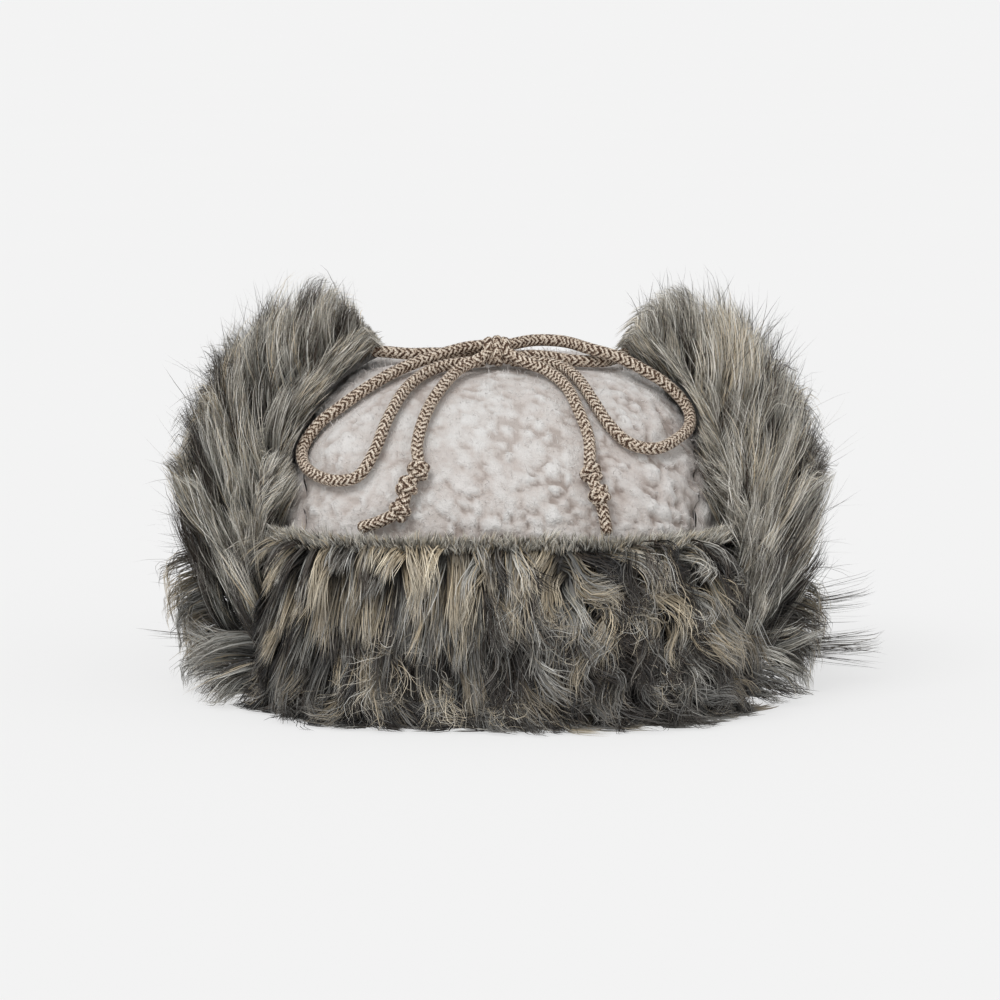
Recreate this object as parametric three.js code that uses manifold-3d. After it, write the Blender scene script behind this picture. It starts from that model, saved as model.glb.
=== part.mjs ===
import * as THREE from 'three';
import { mergeVertices } from 'three/addons/utils/BufferGeometryUtils.js';
import Module from 'manifold-3d';

// Trooper hat, millimetres, +Z up. The front faces -Y and the hat rests on z = 0.
// Bearings are degrees round the hat: 0 front, 90 right (+X), -90 left, 180 back.

// Crown: a soft box-shouldered dome, (|x|/a)^nx + (|y|/b)^ny + (z/h)^nz = 1
const CROWN_A = 102;
const CROWN_B = 108;
const CROWN_H = 139;
const CROWN_NX = 4;
const CROWN_NY = 2.4;
const CROWN_NZ = 2.8;
const CROWN_WALL = 12;
const SEAM_X = 81;
const SEAM_GAP = 0.3;
const CROWN_CLIMBS = [0, 5, 13, 23, 34, 45, 56, 66, 75, 82, 87];
const CROWN_SIDES = 40;
const CAVITY_CLIMBS = [0, 12, 27, 44, 60, 74, 84];
const CAVITY_SIDES = 24;

// Flaps: fur mats that stand beside the crown, split at the front seams and the centre back
const FLAP_GAP = 0.6;
const FLAP_SPLIT = 52;
const FLAP_SPLIT_GAP = 0.12;
const FRONT_H = 144;
const FRONT_NZ = 3.2;
const FRONT_TOP = 74;
const EAR_H = 142;
const EAR_NZ = 3;

// Thickness of the fur mat at its foot, middle and upper rim, at the front, the sides and the back
const MAT_FOOT = { front: 14.4, side: 22, back: 18 };
const MAT_MIDDLE = { front: 18.4, side: 29, back: 22 };
const MAT_RIM = { front: 8, side: 12, back: 9 };

// Upper edge of an ear flap: climb of its edge at each bearing, highest at the tip that is tied
const EAR_EDGE = [
  { bearing: 52, climb: 31 },
  { bearing: 56, climb: 38 },
  { bearing: 59, climb: 48 },
  { bearing: 63, climb: 62 },
  { bearing: 68, climb: 73 },
  { bearing: 76, climb: 78 },
  { bearing: 89, climb: 77 },
  { bearing: 101, climb: 65 },
  { bearing: 115, climb: 48 },
  { bearing: 132, climb: 36 },
  { bearing: 155, climb: 32 },
  { bearing: 180, climb: 31 },
];

// Fur locks in rows. up: height fraction of the roots on the mat, from/to: bearings of the row,
// turn: degrees away from straight up, lean: how far the lock stands off
const FRONT_LOCKS = [
  { up: 0.88, from: -48, to: 48, count: 9, long: 42, wide: 13, deep: 5, lean: 4, turn: 180 },
  { up: 0.6, from: -49, to: 49, count: 9, long: 38, wide: 13, deep: 5, lean: 4, turn: 182 },
  { up: 0.34, from: -48, to: 48, count: 10, long: 30, wide: 12, deep: 5, lean: 4, turn: 178 },
  { up: 0.95, from: -46, to: 46, count: 8, long: 13, wide: 8, deep: 3, lean: 2, turn: 4 },
];
const EAR_LOCKS = [
  { up: 0.24, from: 57, to: 175, count: 9, long: 34, wide: 13, deep: 6, lean: 6, turn: 178 },
  { up: 0.32, from: 60, to: 172, count: 8, long: 36, wide: 13, deep: 6, lean: 6, turn: 12 },
  { up: 0.57, from: 59, to: 174, count: 8, long: 32, wide: 13, deep: 6, lean: 7, turn: -8 },
  { up: 0.74, from: 66, to: 106, count: 4, long: 32, wide: 12, deep: 6, lean: 10, turn: 6 },
  { up: 0.9, from: 71, to: 97, count: 3, long: 22, wide: 11, deep: 6, lean: 6, turn: -6 },
  { up: 0.95, from: 56, to: 62, count: 2, long: 18, wide: 8, deep: 5, lean: 3, turn: 14 },
  { up: 0.93, from: 122, to: 174, count: 4, long: 18, wide: 9, deep: 5, lean: 3, turn: -6 },
];
const LOCK_STEPS = [0, 0.36, 0.72];
const LOCK_ROOT_DEPTH = 4;
const WISPS = [
  { bearing: 97, up: 0.15, long: 26, wide: 5, deep: 4, lean: 26, turn: 100 },
  { bearing: 84, up: 0.07, long: 22, wide: 5, deep: 4, lean: 25, turn: 112 },
];

// Cords
const CORD_R = 2.5;
const CORD_GAP = 0.3;
const CORD_SIDES = 8;
const CORD_STEP = 9;
const STOPPER_R = 4.4;
const KNOT_AT = { x: -1, y: -29.5, lift: 4 };
const KNOT_WRAP = 4.2;
const KNOT_PITCH = 3.3;

// Cord routes over the crown: x, y in plan and how far the cord is lifted off the fleece
const TIE_LEFT = [
  { x: -5, y: -25, lift: 0 },
  { x: -16, y: -19.5, lift: 0 },
  { x: -28, y: -16.5, lift: 0 },
  { x: -38, y: -16.5, lift: 0.5 },
  { x: -48, y: -15, lift: 2.5 },
  { x: -57, y: -13.5, lift: 5 },
];
const LOOP_LEFT = [
  { x: -4, y: -27, lift: 5.4 },
  { x: -14, y: -26, lift: 4.2 },
  { x: -25, y: -29, lift: 2.2 },
  { x: -40, y: -37, lift: 0.3 },
  { x: -53, y: -47, lift: 0 },
  { x: -65, y: -53, lift: 0 },
  { x: -74.5, y: -53, lift: 0 },
  { x: -81, y: -55, lift: 0 },
  { x: -80.5, y: -63, lift: 0 },
  { x: -75, y: -74, lift: 0 },
  { x: -66.5, y: -82.5, lift: 0 },
  { x: -57.5, y: -86, lift: 0 },
  { x: -51, y: -81.5, lift: 0 },
  { x: -46, y: -71, lift: 0 },
  { x: -37.5, y: -53.5, lift: 0 },
  { x: -25.5, y: -38.5, lift: 0 },
  { x: -6, y: -31, lift: 0 },
];
const TAIL_LEFT = [
  { x: -3, y: -33, lift: 5 },
  { x: -9, y: -38, lift: 2.8 },
  { x: -16.5, y: -43, lift: 1 },
  { x: -23.5, y: -55, lift: 0 },
  { x: -30, y: -70, lift: 0 },
  { x: -33.5, y: -82, lift: 0 },
  { x: -33, y: -90.5, lift: 1 },
  { x: -37, y: -94.5, lift: 1.5 },
  { x: -40, y: -98, lift: 1 },
  { x: -47, y: -98.5, lift: 0.8 },
  { x: -57, y: -97, lift: 0.6 },
];
const LOOP_RIGHT = [
  { x: 3.5, y: -26.5, lift: 5.4 },
  { x: 14.5, y: -19.5, lift: 5.8 },
  { x: 26.5, y: -21, lift: 5.8 },
  { x: 37.8, y: -30.5, lift: 5.6 },
  { x: 48.5, y: -33, lift: 4.8 },
  { x: 59.5, y: -35.5, lift: 3.4 },
  { x: 69.7, y: -38, lift: 3 },
  { x: 77.5, y: -43, lift: 2.6 },
  { x: 78.2, y: -52, lift: 2 },
  { x: 74, y: -62.5, lift: 1.2 },
  { x: 63, y: -75.3, lift: 0.2 },
  { x: 52.5, y: -78, lift: 0 },
  { x: 44.5, y: -73.5, lift: 0 },
  { x: 38, y: -63, lift: 0 },
  { x: 31.5, y: -48, lift: 0 },
  { x: 23.5, y: -36.5, lift: 0 },
  { x: 4, y: -30.5, lift: 0 },
];
const TAIL_RIGHT = [
  { x: 1, y: -33, lift: 5 },
  { x: 9, y: -38.5, lift: 2.6 },
  { x: 18.5, y: -42.5, lift: 0.5 },
  { x: 27, y: -55, lift: 0 },
  { x: 32.3, y: -69.5, lift: 0 },
  { x: 36, y: -80, lift: 0 },
  { x: 36.5, y: -91, lift: 1 },
  { x: 39.7, y: -96, lift: 1.5 },
  { x: 41.7, y: -98.8, lift: 1 },
  { x: 43, y: -101, lift: 0.5 },
];
const TIE_RIGHT = [
  { x: 4, y: -25, lift: 0 },
  { x: 16, y: -23, lift: 0 },
  { x: 31, y: -29, lift: 0 },
  { x: 42, y: -26.5, lift: 0 },
  { x: 47.5, y: -20.5, lift: 0.5 },
  { x: 52, y: -16, lift: 2.5 },
  { x: 58, y: -13, lift: 5 },
];
const STOPPERS_LEFT = [6, 7, 8];
const STOPPERS_RIGHT = [6, 7];

const wasm = await Module();
wasm.setup();

function toSolid(geometry) {
  const bare = geometry.clone();
  bare.deleteAttribute('normal');
  bare.deleteAttribute('uv');
  const merged = mergeVertices(bare, 1e-4);
  return new wasm.Manifold(new wasm.Mesh({
    numProp: 3,
    vertProperties: new Float32Array(merged.attributes.position.array),
    triVerts: new Uint32Array(merged.index.array),
  }));
}

function toGeometry(solid) {
  const mesh = solid.getMesh();
  const geometry = new THREE.BufferGeometry();
  geometry.setAttribute('position', new THREE.BufferAttribute(mesh.vertProperties, 3));
  geometry.setIndex(new THREE.BufferAttribute(mesh.triVerts, 1));
  geometry.computeVertexNormals();
  return geometry;
}

function closedGeometry(points, faces) {
  const geometry = new THREE.BufferGeometry();
  geometry.setAttribute('position', new THREE.Float32BufferAttribute(points.flatMap((p) => [p.x, p.y, p.z]), 3));
  geometry.setIndex(faces.flat());
  return geometry;
}

const radians = THREE.MathUtils.degToRad;

// Plan radius of the crown's outline at a bearing, where the outline's equation equals k
function planRadius(a, b, bearing, k) {
  const s = Math.abs(Math.sin(radians(bearing))) / a;
  const c = Math.abs(Math.cos(radians(bearing))) / b;
  let low = 0;
  let high = 1.5 * Math.max(a, b);
  for (let i = 0; i < 40; i += 1) {
    const r = (low + high) / 2;
    if ((r * s) ** CROWN_NX + (r * c) ** CROWN_NY > k) {
      high = r;
    } else {
      low = r;
    }
  }
  return (low + high) / 2;
}

function planPoint(a, b, bearing, k, z) {
  const r = planRadius(a, b, bearing, k);
  return new THREE.Vector3(r * Math.sin(radians(bearing)), -r * Math.cos(radians(bearing)), z);
}

// A full dome grown by an offset, closed by a skirt that reaches below the floor plane
function domeSolid(offset, climbs, sides, skirt) {
  const points = [];
  const faces = [];
  const rings = climbs.map((climb) => ({ k: Math.cos(radians(climb)) ** 2, s: Math.sin(radians(climb)) }));
  const levels = rings.map((ring) => ({ k: ring.k, z: (CROWN_H + offset) * ring.s ** (2 / CROWN_NZ) }));
  if (skirt > 0) {
    levels.unshift({ k: 1, z: -skirt });
  }
  for (const level of levels) {
    for (let i = 0; i < sides; i += 1) {
      points.push(planPoint(CROWN_A + offset, CROWN_B + offset, (360 * i) / sides, level.k, level.z));
    }
  }
  for (let j = 0; j < levels.length - 1; j += 1) {
    for (let i = 0; i < sides; i += 1) {
      const next = (i + 1) % sides;
      const p = j * sides + i;
      const q = j * sides + next;
      faces.push([p, q, q + sides], [p, q + sides, p + sides]);
    }
  }
  points.push(new THREE.Vector3(0, 0, CROWN_H + offset), new THREE.Vector3(0, 0, levels[0].z));
  const top = points.length - 2;
  const foot = points.length - 1;
  const last = (levels.length - 1) * sides;
  for (let i = 0; i < sides; i += 1) {
    const next = (i + 1) % sides;
    faces.push([last + i, last + next, top], [next, i, foot]);
  }
  return toSolid(closedGeometry(points, faces));
}

// A closed slab between an inner and an outer surface over a grid of columns and rows
function slabSolid(inner, outer, columns, rows) {
  const points = [];
  const faces = [];
  const width = columns + 1;
  const sheet = width * (rows + 1);
  for (const surface of [inner, outer]) {
    for (let j = 0; j <= rows; j += 1) {
      for (let i = 0; i <= columns; i += 1) {
        points.push(surface(i / columns, j / rows));
      }
    }
  }
  const quad = (a, b, c, d) => faces.push([a, b, c], [a, c, d]);
  for (let j = 0; j < rows; j += 1) {
    for (let i = 0; i < columns; i += 1) {
      const p = j * width + i;
      quad(p, p + width, p + width + 1, p + 1);
      quad(sheet + p, sheet + p + 1, sheet + p + width + 1, sheet + p + width);
    }
  }
  for (let i = 0; i < columns; i += 1) {
    const t = rows * width + i;
    quad(i, i + 1, sheet + i + 1, sheet + i);
    quad(t, sheet + t, sheet + t + 1, t + 1);
  }
  for (let j = 0; j < rows; j += 1) {
    const l = j * width;
    const r = l + columns;
    quad(l, sheet + l, sheet + l + width, l + width);
    quad(r, r + width, sheet + r + width, sheet + r);
  }
  return toSolid(closedGeometry(points, faces));
}

const lerp = THREE.MathUtils.lerp;

function edgeClimb(bearing) {
  const i = EAR_EDGE.findIndex((row, n) => n > 0 && bearing <= row.bearing);
  const b = EAR_EDGE[i < 0 ? EAR_EDGE.length - 1 : i];
  const a = EAR_EDGE[(i < 0 ? EAR_EDGE.length - 1 : i) - 1];
  const t = THREE.MathUtils.smoothstep(bearing, a.bearing, b.bearing);
  return lerp(a.climb, b.climb, lerp((bearing - a.bearing) / (b.bearing - a.bearing), t, 0.35));
}

// Points of a flap: u runs along the bearings, v from the foot to the upper edge
function flapPoint(height, nz, top, offset, bearing, v) {
  const climb = radians(top * v);
  const k = 1 - Math.sin(climb) ** nz;
  return planPoint(CROWN_A + offset, CROWN_B + offset, bearing, k, (height + offset) * Math.sin(climb));
}

function matThickness(bearing, v) {
  const sideways = Math.sin(radians(bearing)) ** 2;
  const facing = Math.abs(bearing) < 90 ? 'front' : 'back';
  const end = v < 0.5 ? MAT_FOOT : MAT_RIM;
  const belly = Math.max(Math.sin(Math.PI * Math.min(Math.max(v, 0), 1)), 0) ** 0.7;
  const edge = lerp(end[facing], end.side, sideways);
  return lerp(edge, lerp(MAT_MIDDLE[facing], MAT_MIDDLE.side, sideways), belly);
}

const frontClimb = THREE.MathUtils.radToDeg(Math.asin(FRONT_TOP / FRONT_H));

const frontSurface = (lift) => (bearing, v) => {
  const offset = FLAP_GAP + lift * matThickness(bearing, v);
  const point = flapPoint(FRONT_H, FRONT_NZ, frontClimb, offset, bearing, v);
  point.z = FRONT_TOP * v;
  return point;
};

const earSurface = (lift) => (bearing, v) => {
  const offset = FLAP_GAP + lift * matThickness(bearing, v);
  return flapPoint(EAR_H, EAR_NZ, edgeClimb(Math.abs(bearing)), offset, bearing, v);
};

// A repeatable scatter between -1 and 1
function scatter(i, j) {
  const wave = Math.sin(i * 12.9898 + j * 78.233) * 43758.5453;
  return 2 * (wave - Math.floor(wave)) - 1;
}

// One lock of fur: a tapered, bent, ridged tongue with its root inside the mat
function lockSolid(surface, bearing, v, shape) {
  const step = 0.5;
  const root = surface(bearing, v);
  const along = surface(bearing, v + 0.02).sub(surface(bearing, v - 0.02)).normalize();
  const across = surface(bearing + step, v).sub(surface(bearing - step, v)).normalize();
  const out = new THREE.Vector3().crossVectors(across, along).normalize();
  const turn = radians(shape.turn);
  const heading = along.clone().multiplyScalar(Math.cos(turn)).addScaledVector(across, Math.sin(turn));
  const side = new THREE.Vector3().crossVectors(out, heading).normalize();
  const centre = (t) => root.clone()
    .addScaledVector(out, -LOCK_ROOT_DEPTH + (shape.lean + LOCK_ROOT_DEPTH) * Math.sin(1.9 * t))
    .addScaledVector(heading, shape.long * t)
    .addScaledVector(side, shape.bend * t * t);
  const points = [];
  const faces = [];
  for (const t of LOCK_STEPS) {
    const wide = shape.wide * (1 - t) ** 0.55;
    const deep = shape.deep * (1 - t) ** 0.55;
    const middle = centre(t);
    points.push(
      middle.clone().addScaledVector(side, wide),
      middle.clone().addScaledVector(out, deep),
      middle.clone().addScaledVector(side, -wide),
      middle.clone().addScaledVector(out, -deep),
    );
  }
  points.push(centre(1));
  const last = 4 * (LOCK_STEPS.length - 1);
  for (let j = 0; j < LOCK_STEPS.length - 1; j += 1) {
    for (let i = 0; i < 4; i += 1) {
      const p = 4 * j + i;
      const q = 4 * j + ((i + 1) % 4);
      faces.push([p, q, q + 4], [p, q + 4, p + 4]);
    }
  }
  for (let i = 0; i < 4; i += 1) {
    faces.push([last + i, last + ((i + 1) % 4), points.length - 1]);
  }
  faces.push([0, 2, 1], [0, 3, 2]);
  const solid = toSolid(closedGeometry(points, faces));
  if (solid.volume() > 0) {
    return solid;
  }
  return toSolid(closedGeometry(points, faces.map(([a, b, c]) => [a, c, b])));
}

function lockRows(rows, surface, hand, seed) {
  const locks = [];
  rows.forEach((row, j) => {
    for (let i = 0; i < row.count; i += 1) {
      const place = row.count > 1 ? i / (row.count - 1) : 0.5;
      const wander = (0.3 * scatter(i, j + seed) * (row.to - row.from)) / row.count;
      const shape = {
        long: row.long * (1 + 0.16 * scatter(i + 7, j + seed)),
        wide: row.wide * (1 + 0.14 * scatter(i + 3, j + seed)),
        deep: row.deep,
        lean: row.lean * (1 + 0.12 * scatter(i + 5, j + seed)),
        turn: hand * (row.turn + 9 * scatter(i + 9, j + seed)),
        bend: 7 * scatter(i + 11, j + seed),
      };
      locks.push(lockSolid(surface, hand * (lerp(row.from, row.to, place) + wander), row.up, shape));
    }
  });
  return locks;
}

// Wedge of space between two bearings, from the floor up
function sectorSolid(from, to) {
  const reach = 400;
  const turns = 8;
  const shape = new THREE.Shape([new THREE.Vector2(0, 0)]);
  for (let i = 0; i <= turns; i += 1) {
    const bearing = radians(lerp(from, to, i / turns));
    shape.lineTo(reach * Math.sin(bearing), -reach * Math.cos(bearing));
  }
  return toSolid(new THREE.ExtrudeGeometry(shape, { depth: reach, bevelEnabled: false }));
}

function crownHeight(x, y) {
  const k = 1 - (Math.abs(x) / CROWN_A) ** CROWN_NX - (Math.abs(y) / CROWN_B) ** CROWN_NY;
  return CROWN_H * Math.max(k, 0) ** (1 / CROWN_NZ);
}

// A point held off the crown along the crown's own normal
function overCrown(place, radius) {
  const e = 0.01;
  const { x, y } = place;
  const slopeX = (crownHeight(x + e, y) - crownHeight(x - e, y)) / (2 * e);
  const slopeY = (crownHeight(x, y + e) - crownHeight(x, y - e)) / (2 * e);
  const normal = new THREE.Vector3(-slopeX, -slopeY, 1).normalize();
  return new THREE.Vector3(x, y, crownHeight(x, y)).addScaledVector(normal, radius + CORD_GAP + place.lift);
}

// The route's x, y are where the cord's own centre is, so each point is slid back onto them
function cordPoint(route) {
  const seat = { x: route.x, y: route.y, lift: route.lift };
  let point = overCrown(seat, CORD_R);
  for (let i = 0; i < 12; i += 1) {
    seat.x += 0.7 * (route.x - point.x);
    seat.y += 0.7 * (route.y - point.y);
    point = overCrown(seat, CORD_R);
  }
  return point;
}

function cordCurve(routes) {
  return new THREE.CatmullRomCurve3(routes.map(cordPoint), false, 'centripetal');
}

function tubeSolid(curve, radius) {
  const ring = [];
  for (let i = 0; i < CORD_SIDES; i += 1) {
    const turn = (2 * Math.PI * i) / CORD_SIDES;
    ring.push(new THREE.Vector2(radius * Math.cos(turn), radius * Math.sin(turn)));
  }
  const steps = Math.ceil(curve.getLength() / CORD_STEP);
  return toSolid(new THREE.ExtrudeGeometry(new THREE.Shape(ring), { steps, extrudePath: curve }));
}

function stopperSolid(point, radius) {
  const bead = new THREE.SphereGeometry(radius, 7, 5);
  bead.translate(point.x, point.y, point.z);
  return toSolid(bead);
}

function knotSolid() {
  const centre = overCrown(KNOT_AT, CORD_R);
  const parts = [new THREE.SphereGeometry(KNOT_WRAP + 1, 6, 4)];
  for (const turn of [-1, 0, 1]) {
    const wrap = new THREE.TorusGeometry(KNOT_WRAP - 0.4 * Math.abs(turn), CORD_R - 0.1, 5, 8);
    wrap.rotateY(Math.PI / 2);
    wrap.rotateZ(0.08 * turn);
    wrap.translate(turn * KNOT_PITCH, 0, 0);
    parts.push(wrap);
  }
  const solids = parts.map((part) => toSolid(part.translate(centre.x, centre.y, centre.z)));
  return wasm.Manifold.union(solids);
}

const group = new THREE.Group();

function addPart(name, solid, color, roughness) {
  const material = new THREE.MeshStandardMaterial({ color, roughness, metalness: 0 });
  const mesh = new THREE.Mesh(toGeometry(solid), material);
  mesh.name = name;
  group.add(mesh);
}

const FLEECE = 0xe6e0db;
const FUR = 0x8d8074;
const BRAID = 0x8a7763;

// Crown, cut into a centre strip and two side panels
const outerDome = domeSolid(0, CROWN_CLIMBS, CROWN_SIDES, 0);
const cavity = domeSolid(-CROWN_WALL, CAVITY_CLIMBS, CAVITY_SIDES, 5);
const crown = outerDome.subtract(cavity);
const stripBlock = (half) => toSolid(new THREE.BoxGeometry(2 * half, 400, 400));
addPart('crown_centre_panel', crown.intersect(stripBlock(SEAM_X - SEAM_GAP / 2)), FLEECE, 0.95);
const sides = crown.subtract(stripBlock(SEAM_X + SEAM_GAP / 2));
const halfSpace = (hand) => toSolid(new THREE.BoxGeometry(400, 800, 800).translate(hand * 200, 0, 0));
addPart('crown_side_left', sides.intersect(halfSpace(-1)), FLEECE, 0.95);
addPart('crown_side_right', sides.intersect(halfSpace(1)), FLEECE, 0.95);

// Cords
const cords = [
  { name: 'tie_cord_left', curve: cordCurve(TIE_LEFT), stoppers: [] },
  { name: 'tie_cord_right', curve: cordCurve(TIE_RIGHT), stoppers: [] },
  { name: 'bow_loop_left', curve: cordCurve(LOOP_LEFT), stoppers: [] },
  { name: 'bow_loop_right', curve: cordCurve(LOOP_RIGHT), stoppers: [] },
  { name: 'bow_tail_left', curve: cordCurve(TAIL_LEFT), stoppers: STOPPERS_LEFT.map((i) => TAIL_LEFT[i]) },
  { name: 'bow_tail_right', curve: cordCurve(TAIL_RIGHT), stoppers: STOPPERS_RIGHT.map((i) => TAIL_RIGHT[i]) },
];
const fatCords = [];
const crownClear = domeSolid(CORD_GAP - 0.1, CROWN_CLIMBS, CROWN_SIDES, 5);
for (const cord of cords) {
  const beads = (radius) => cord.stoppers.map((place) => stopperSolid(cordPoint(place), radius));
  const solid = wasm.Manifold.union([tubeSolid(cord.curve, CORD_R), ...beads(STOPPER_R)]);
  fatCords.push(tubeSolid(cord.curve, CORD_R + CORD_GAP), ...beads(STOPPER_R + CORD_GAP));
  addPart(cord.name, solid.subtract(crownClear), BRAID, 0.85);
}
const cordSpace = wasm.Manifold.union(fatCords);
addPart('bow_knot', knotSolid().subtract(cordSpace).subtract(crownClear), BRAID, 0.85);

// Flaps
const flapClear = domeSolid(0.4, CROWN_CLIMBS, CROWN_SIDES, 5);
function addFlap(name, surface, from, to, columns, rows, locks) {
  const at = (u) => lerp(from, to, u);
  const mat = slabSolid((u, v) => surface(0)(at(u), v), (u, v) => surface(1)(at(u), v), columns, rows);
  const sector = sectorSolid(from + FLAP_SPLIT_GAP, to - FLAP_SPLIT_GAP);
  const fur = wasm.Manifold.union([mat, ...locks]);
  addPart(name, fur.intersect(sector).subtract(flapClear).subtract(cordSpace), FUR, 0.9);
}
const wisps = (hand) => WISPS.map((w) => lockSolid(
  earSurface(1),
  hand * w.bearing,
  w.up,
  { ...w, turn: hand * w.turn, bend: 0 },
));
const frontLocks = lockRows(FRONT_LOCKS, frontSurface(1), 1, 1);
addFlap('front_flap', frontSurface, -FLAP_SPLIT, FLAP_SPLIT, 12, 4, frontLocks);
const leftLocks = [...lockRows(EAR_LOCKS, earSurface(1), -1, 21), ...wisps(-1)];
addFlap('ear_flap_left', earSurface, -180, -FLAP_SPLIT, 16, 5, leftLocks);
const rightLocks = [...lockRows(EAR_LOCKS, earSurface(1), 1, 41), ...wisps(1)];
addFlap('ear_flap_right', earSurface, FLAP_SPLIT, 180, 16, 5, rightLocks);

export default group;
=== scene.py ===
import math
import bpy
import numpy as np
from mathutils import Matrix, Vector, kdtree, noise


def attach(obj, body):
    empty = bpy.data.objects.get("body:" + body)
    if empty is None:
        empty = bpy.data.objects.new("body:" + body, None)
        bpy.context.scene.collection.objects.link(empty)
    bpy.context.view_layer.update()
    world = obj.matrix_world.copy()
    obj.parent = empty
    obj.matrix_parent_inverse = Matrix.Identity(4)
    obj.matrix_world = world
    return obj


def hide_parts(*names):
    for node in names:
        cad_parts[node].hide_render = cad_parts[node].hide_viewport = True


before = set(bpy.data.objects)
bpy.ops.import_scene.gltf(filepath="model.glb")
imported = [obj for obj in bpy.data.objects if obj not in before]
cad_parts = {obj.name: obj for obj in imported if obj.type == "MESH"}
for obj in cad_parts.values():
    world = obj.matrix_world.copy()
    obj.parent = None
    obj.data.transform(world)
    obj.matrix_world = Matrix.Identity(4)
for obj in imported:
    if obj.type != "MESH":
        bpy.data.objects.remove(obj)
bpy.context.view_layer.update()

MM = 0.001
PI = math.pi

# Camera
ELEVATION = math.radians(8.0)
DISTANCE = 1.6
FIELD = 0.430
FOOT_ROW = 676.0

fwd = np.array([0.0, math.cos(ELEVATION), -math.sin(ELEVATION)])
up = np.array([0.0, math.sin(ELEVATION), math.cos(ELEVATION)])
aim = up * (FOOT_ROW - 500) * FIELD / 1000
camera = bpy.data.objects.new("camera", bpy.data.cameras.new("camera"))
bpy.context.scene.collection.objects.link(camera)
camera.data.sensor_width = 36
camera.data.sensor_height = 36
camera.data.sensor_fit = "HORIZONTAL"
camera.data.lens = 36 * DISTANCE / FIELD
camera.data.clip_end = 400
camera.location = Vector(aim - DISTANCE * fwd)
camera.rotation_euler = (math.radians(90) - ELEVATION, 0, 0)
bpy.context.scene.camera = camera

# The hat's surfaces, in millimetres
CA, CB, CH = 102.0, 108.0, 139.0
NX, NY, NZ = 4.0, 2.4, 2.8
FRONT_H = 144.0
FRONT_NZ = 3.2
FRONT_TOP = 74.0
EAR_H = 142.0
EAR_NZ = 3.0
EAR_EDGE = ((52, 31), (56, 38), (59, 48), (63, 62), (68, 73), (76, 78), (89, 77), (101, 65), (115, 48),
            (132, 36), (155, 32), (180, 31))
EDGE_BEARING, EDGE_CLIMB = np.array(EAR_EDGE, float).T
FLAP_GAP = 0.6
LARGEST_RADIUS = 260.0
HALVINGS = 34


def plan_radius(a, b, bearing, k):
    """Radius of the plan outline at a bearing, with half widths a and b, shrunk by k; found by halving."""
    s = np.abs(np.sin(np.radians(bearing))) / a
    c = np.abs(np.cos(np.radians(bearing))) / b
    low = np.zeros(np.broadcast(s, k).shape)
    high = low + LARGEST_RADIUS
    for _ in range(HALVINGS):
        mid = (low + high) / 2
        over = (mid * s) ** NX + (mid * c) ** NY > k
        high = np.where(over, mid, high)
        low = np.where(over, low, mid)
    return (low + high) / 2


def flap_surface(bearing, v, offset, ear):
    """Points of a flap's sheet, grown outward by offset, at a bearing and a height fraction v."""
    bearing = np.asarray(bearing, float)
    v = np.asarray(v, float)
    if ear:
        climb = np.radians(np.interp(np.abs(bearing), EDGE_BEARING, EDGE_CLIMB) * v)
        z = (EAR_H + offset) * np.sin(climb)
        nz = EAR_NZ
    else:
        climb = np.arcsin(np.clip(FRONT_TOP / FRONT_H * v, -1, 1))
        z = FRONT_H * np.sin(climb)
        nz = FRONT_NZ
    s = np.sin(climb)
    k = np.clip(1 - np.sign(s) * np.abs(s) ** nz, 1e-6, None)
    r = plan_radius(CA + FLAP_GAP + offset, CB + FLAP_GAP + offset, bearing, k)
    return np.stack([r * np.sin(np.radians(bearing)), -r * np.cos(np.radians(bearing)), z + 0 * r], -1)


def unit(a):
    return a / np.maximum(np.linalg.norm(a, axis=-1, keepdims=True), 1e-9)


def flap_frame(bearing, v, offset, ear):
    """Root points with their outward, upward and sideways (growing bearing) directions."""
    p = flap_surface(bearing, v, offset, ear)
    along = unit(flap_surface(bearing, v + 0.02, offset, ear) - flap_surface(bearing, v - 0.02, offset, ear))
    across = unit(flap_surface(bearing + 0.5, v, offset, ear) - flap_surface(bearing - 0.5, v, offset, ear))
    out = unit(np.cross(across, along))
    return p, out, along, across


def crown_height(x, y):
    """Height of the fleece crown over a point of the floor."""
    k = 1 - (np.abs(x) / CA) ** NX - (np.abs(y) / CB) ** NY
    return CH * np.maximum(k, 0) ** (1 / NZ)


# Mesh helpers
def add_mesh(name, points, faces, material, attributes=None):
    """points in millimetres; faces as one array or a list of arrays of equal-sided faces."""
    mesh = bpy.data.meshes.new(name)
    arrays = faces if isinstance(faces, list) else [faces]
    loops = np.concatenate([f.reshape(-1) for f in arrays]).astype(np.int32)
    sizes = np.concatenate([np.full(len(f), f.shape[1]) for f in arrays])
    starts = np.concatenate([[0], np.cumsum(sizes)[:-1]]).astype(np.int32)
    mesh.vertices.add(len(points))
    mesh.vertices.foreach_set("co", (np.asarray(points, float) * MM).astype(np.float32).reshape(-1))
    mesh.loops.add(len(loops))
    mesh.loops.foreach_set("vertex_index", loops)
    mesh.polygons.add(len(sizes))
    mesh.polygons.foreach_set("loop_start", starts)
    mesh.polygons.foreach_set("use_smooth", np.full(len(sizes), True))
    mesh.update(calc_edges=True)
    for key, values in (attributes or {}).items():
        layer = mesh.attributes.new(key, "FLOAT", "POINT")
        layer.data.foreach_set("value", np.asarray(values, np.float32).reshape(-1))
    mesh.materials.append(material)
    obj = bpy.data.objects.new(name, mesh)
    bpy.context.scene.collection.objects.link(obj)
    return obj


def dress(piece, node=None):
    """Attaches a piece to its body and hides the node that it replaces."""
    if node:
        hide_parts(node)
    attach(piece, "root")
    return piece


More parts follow.
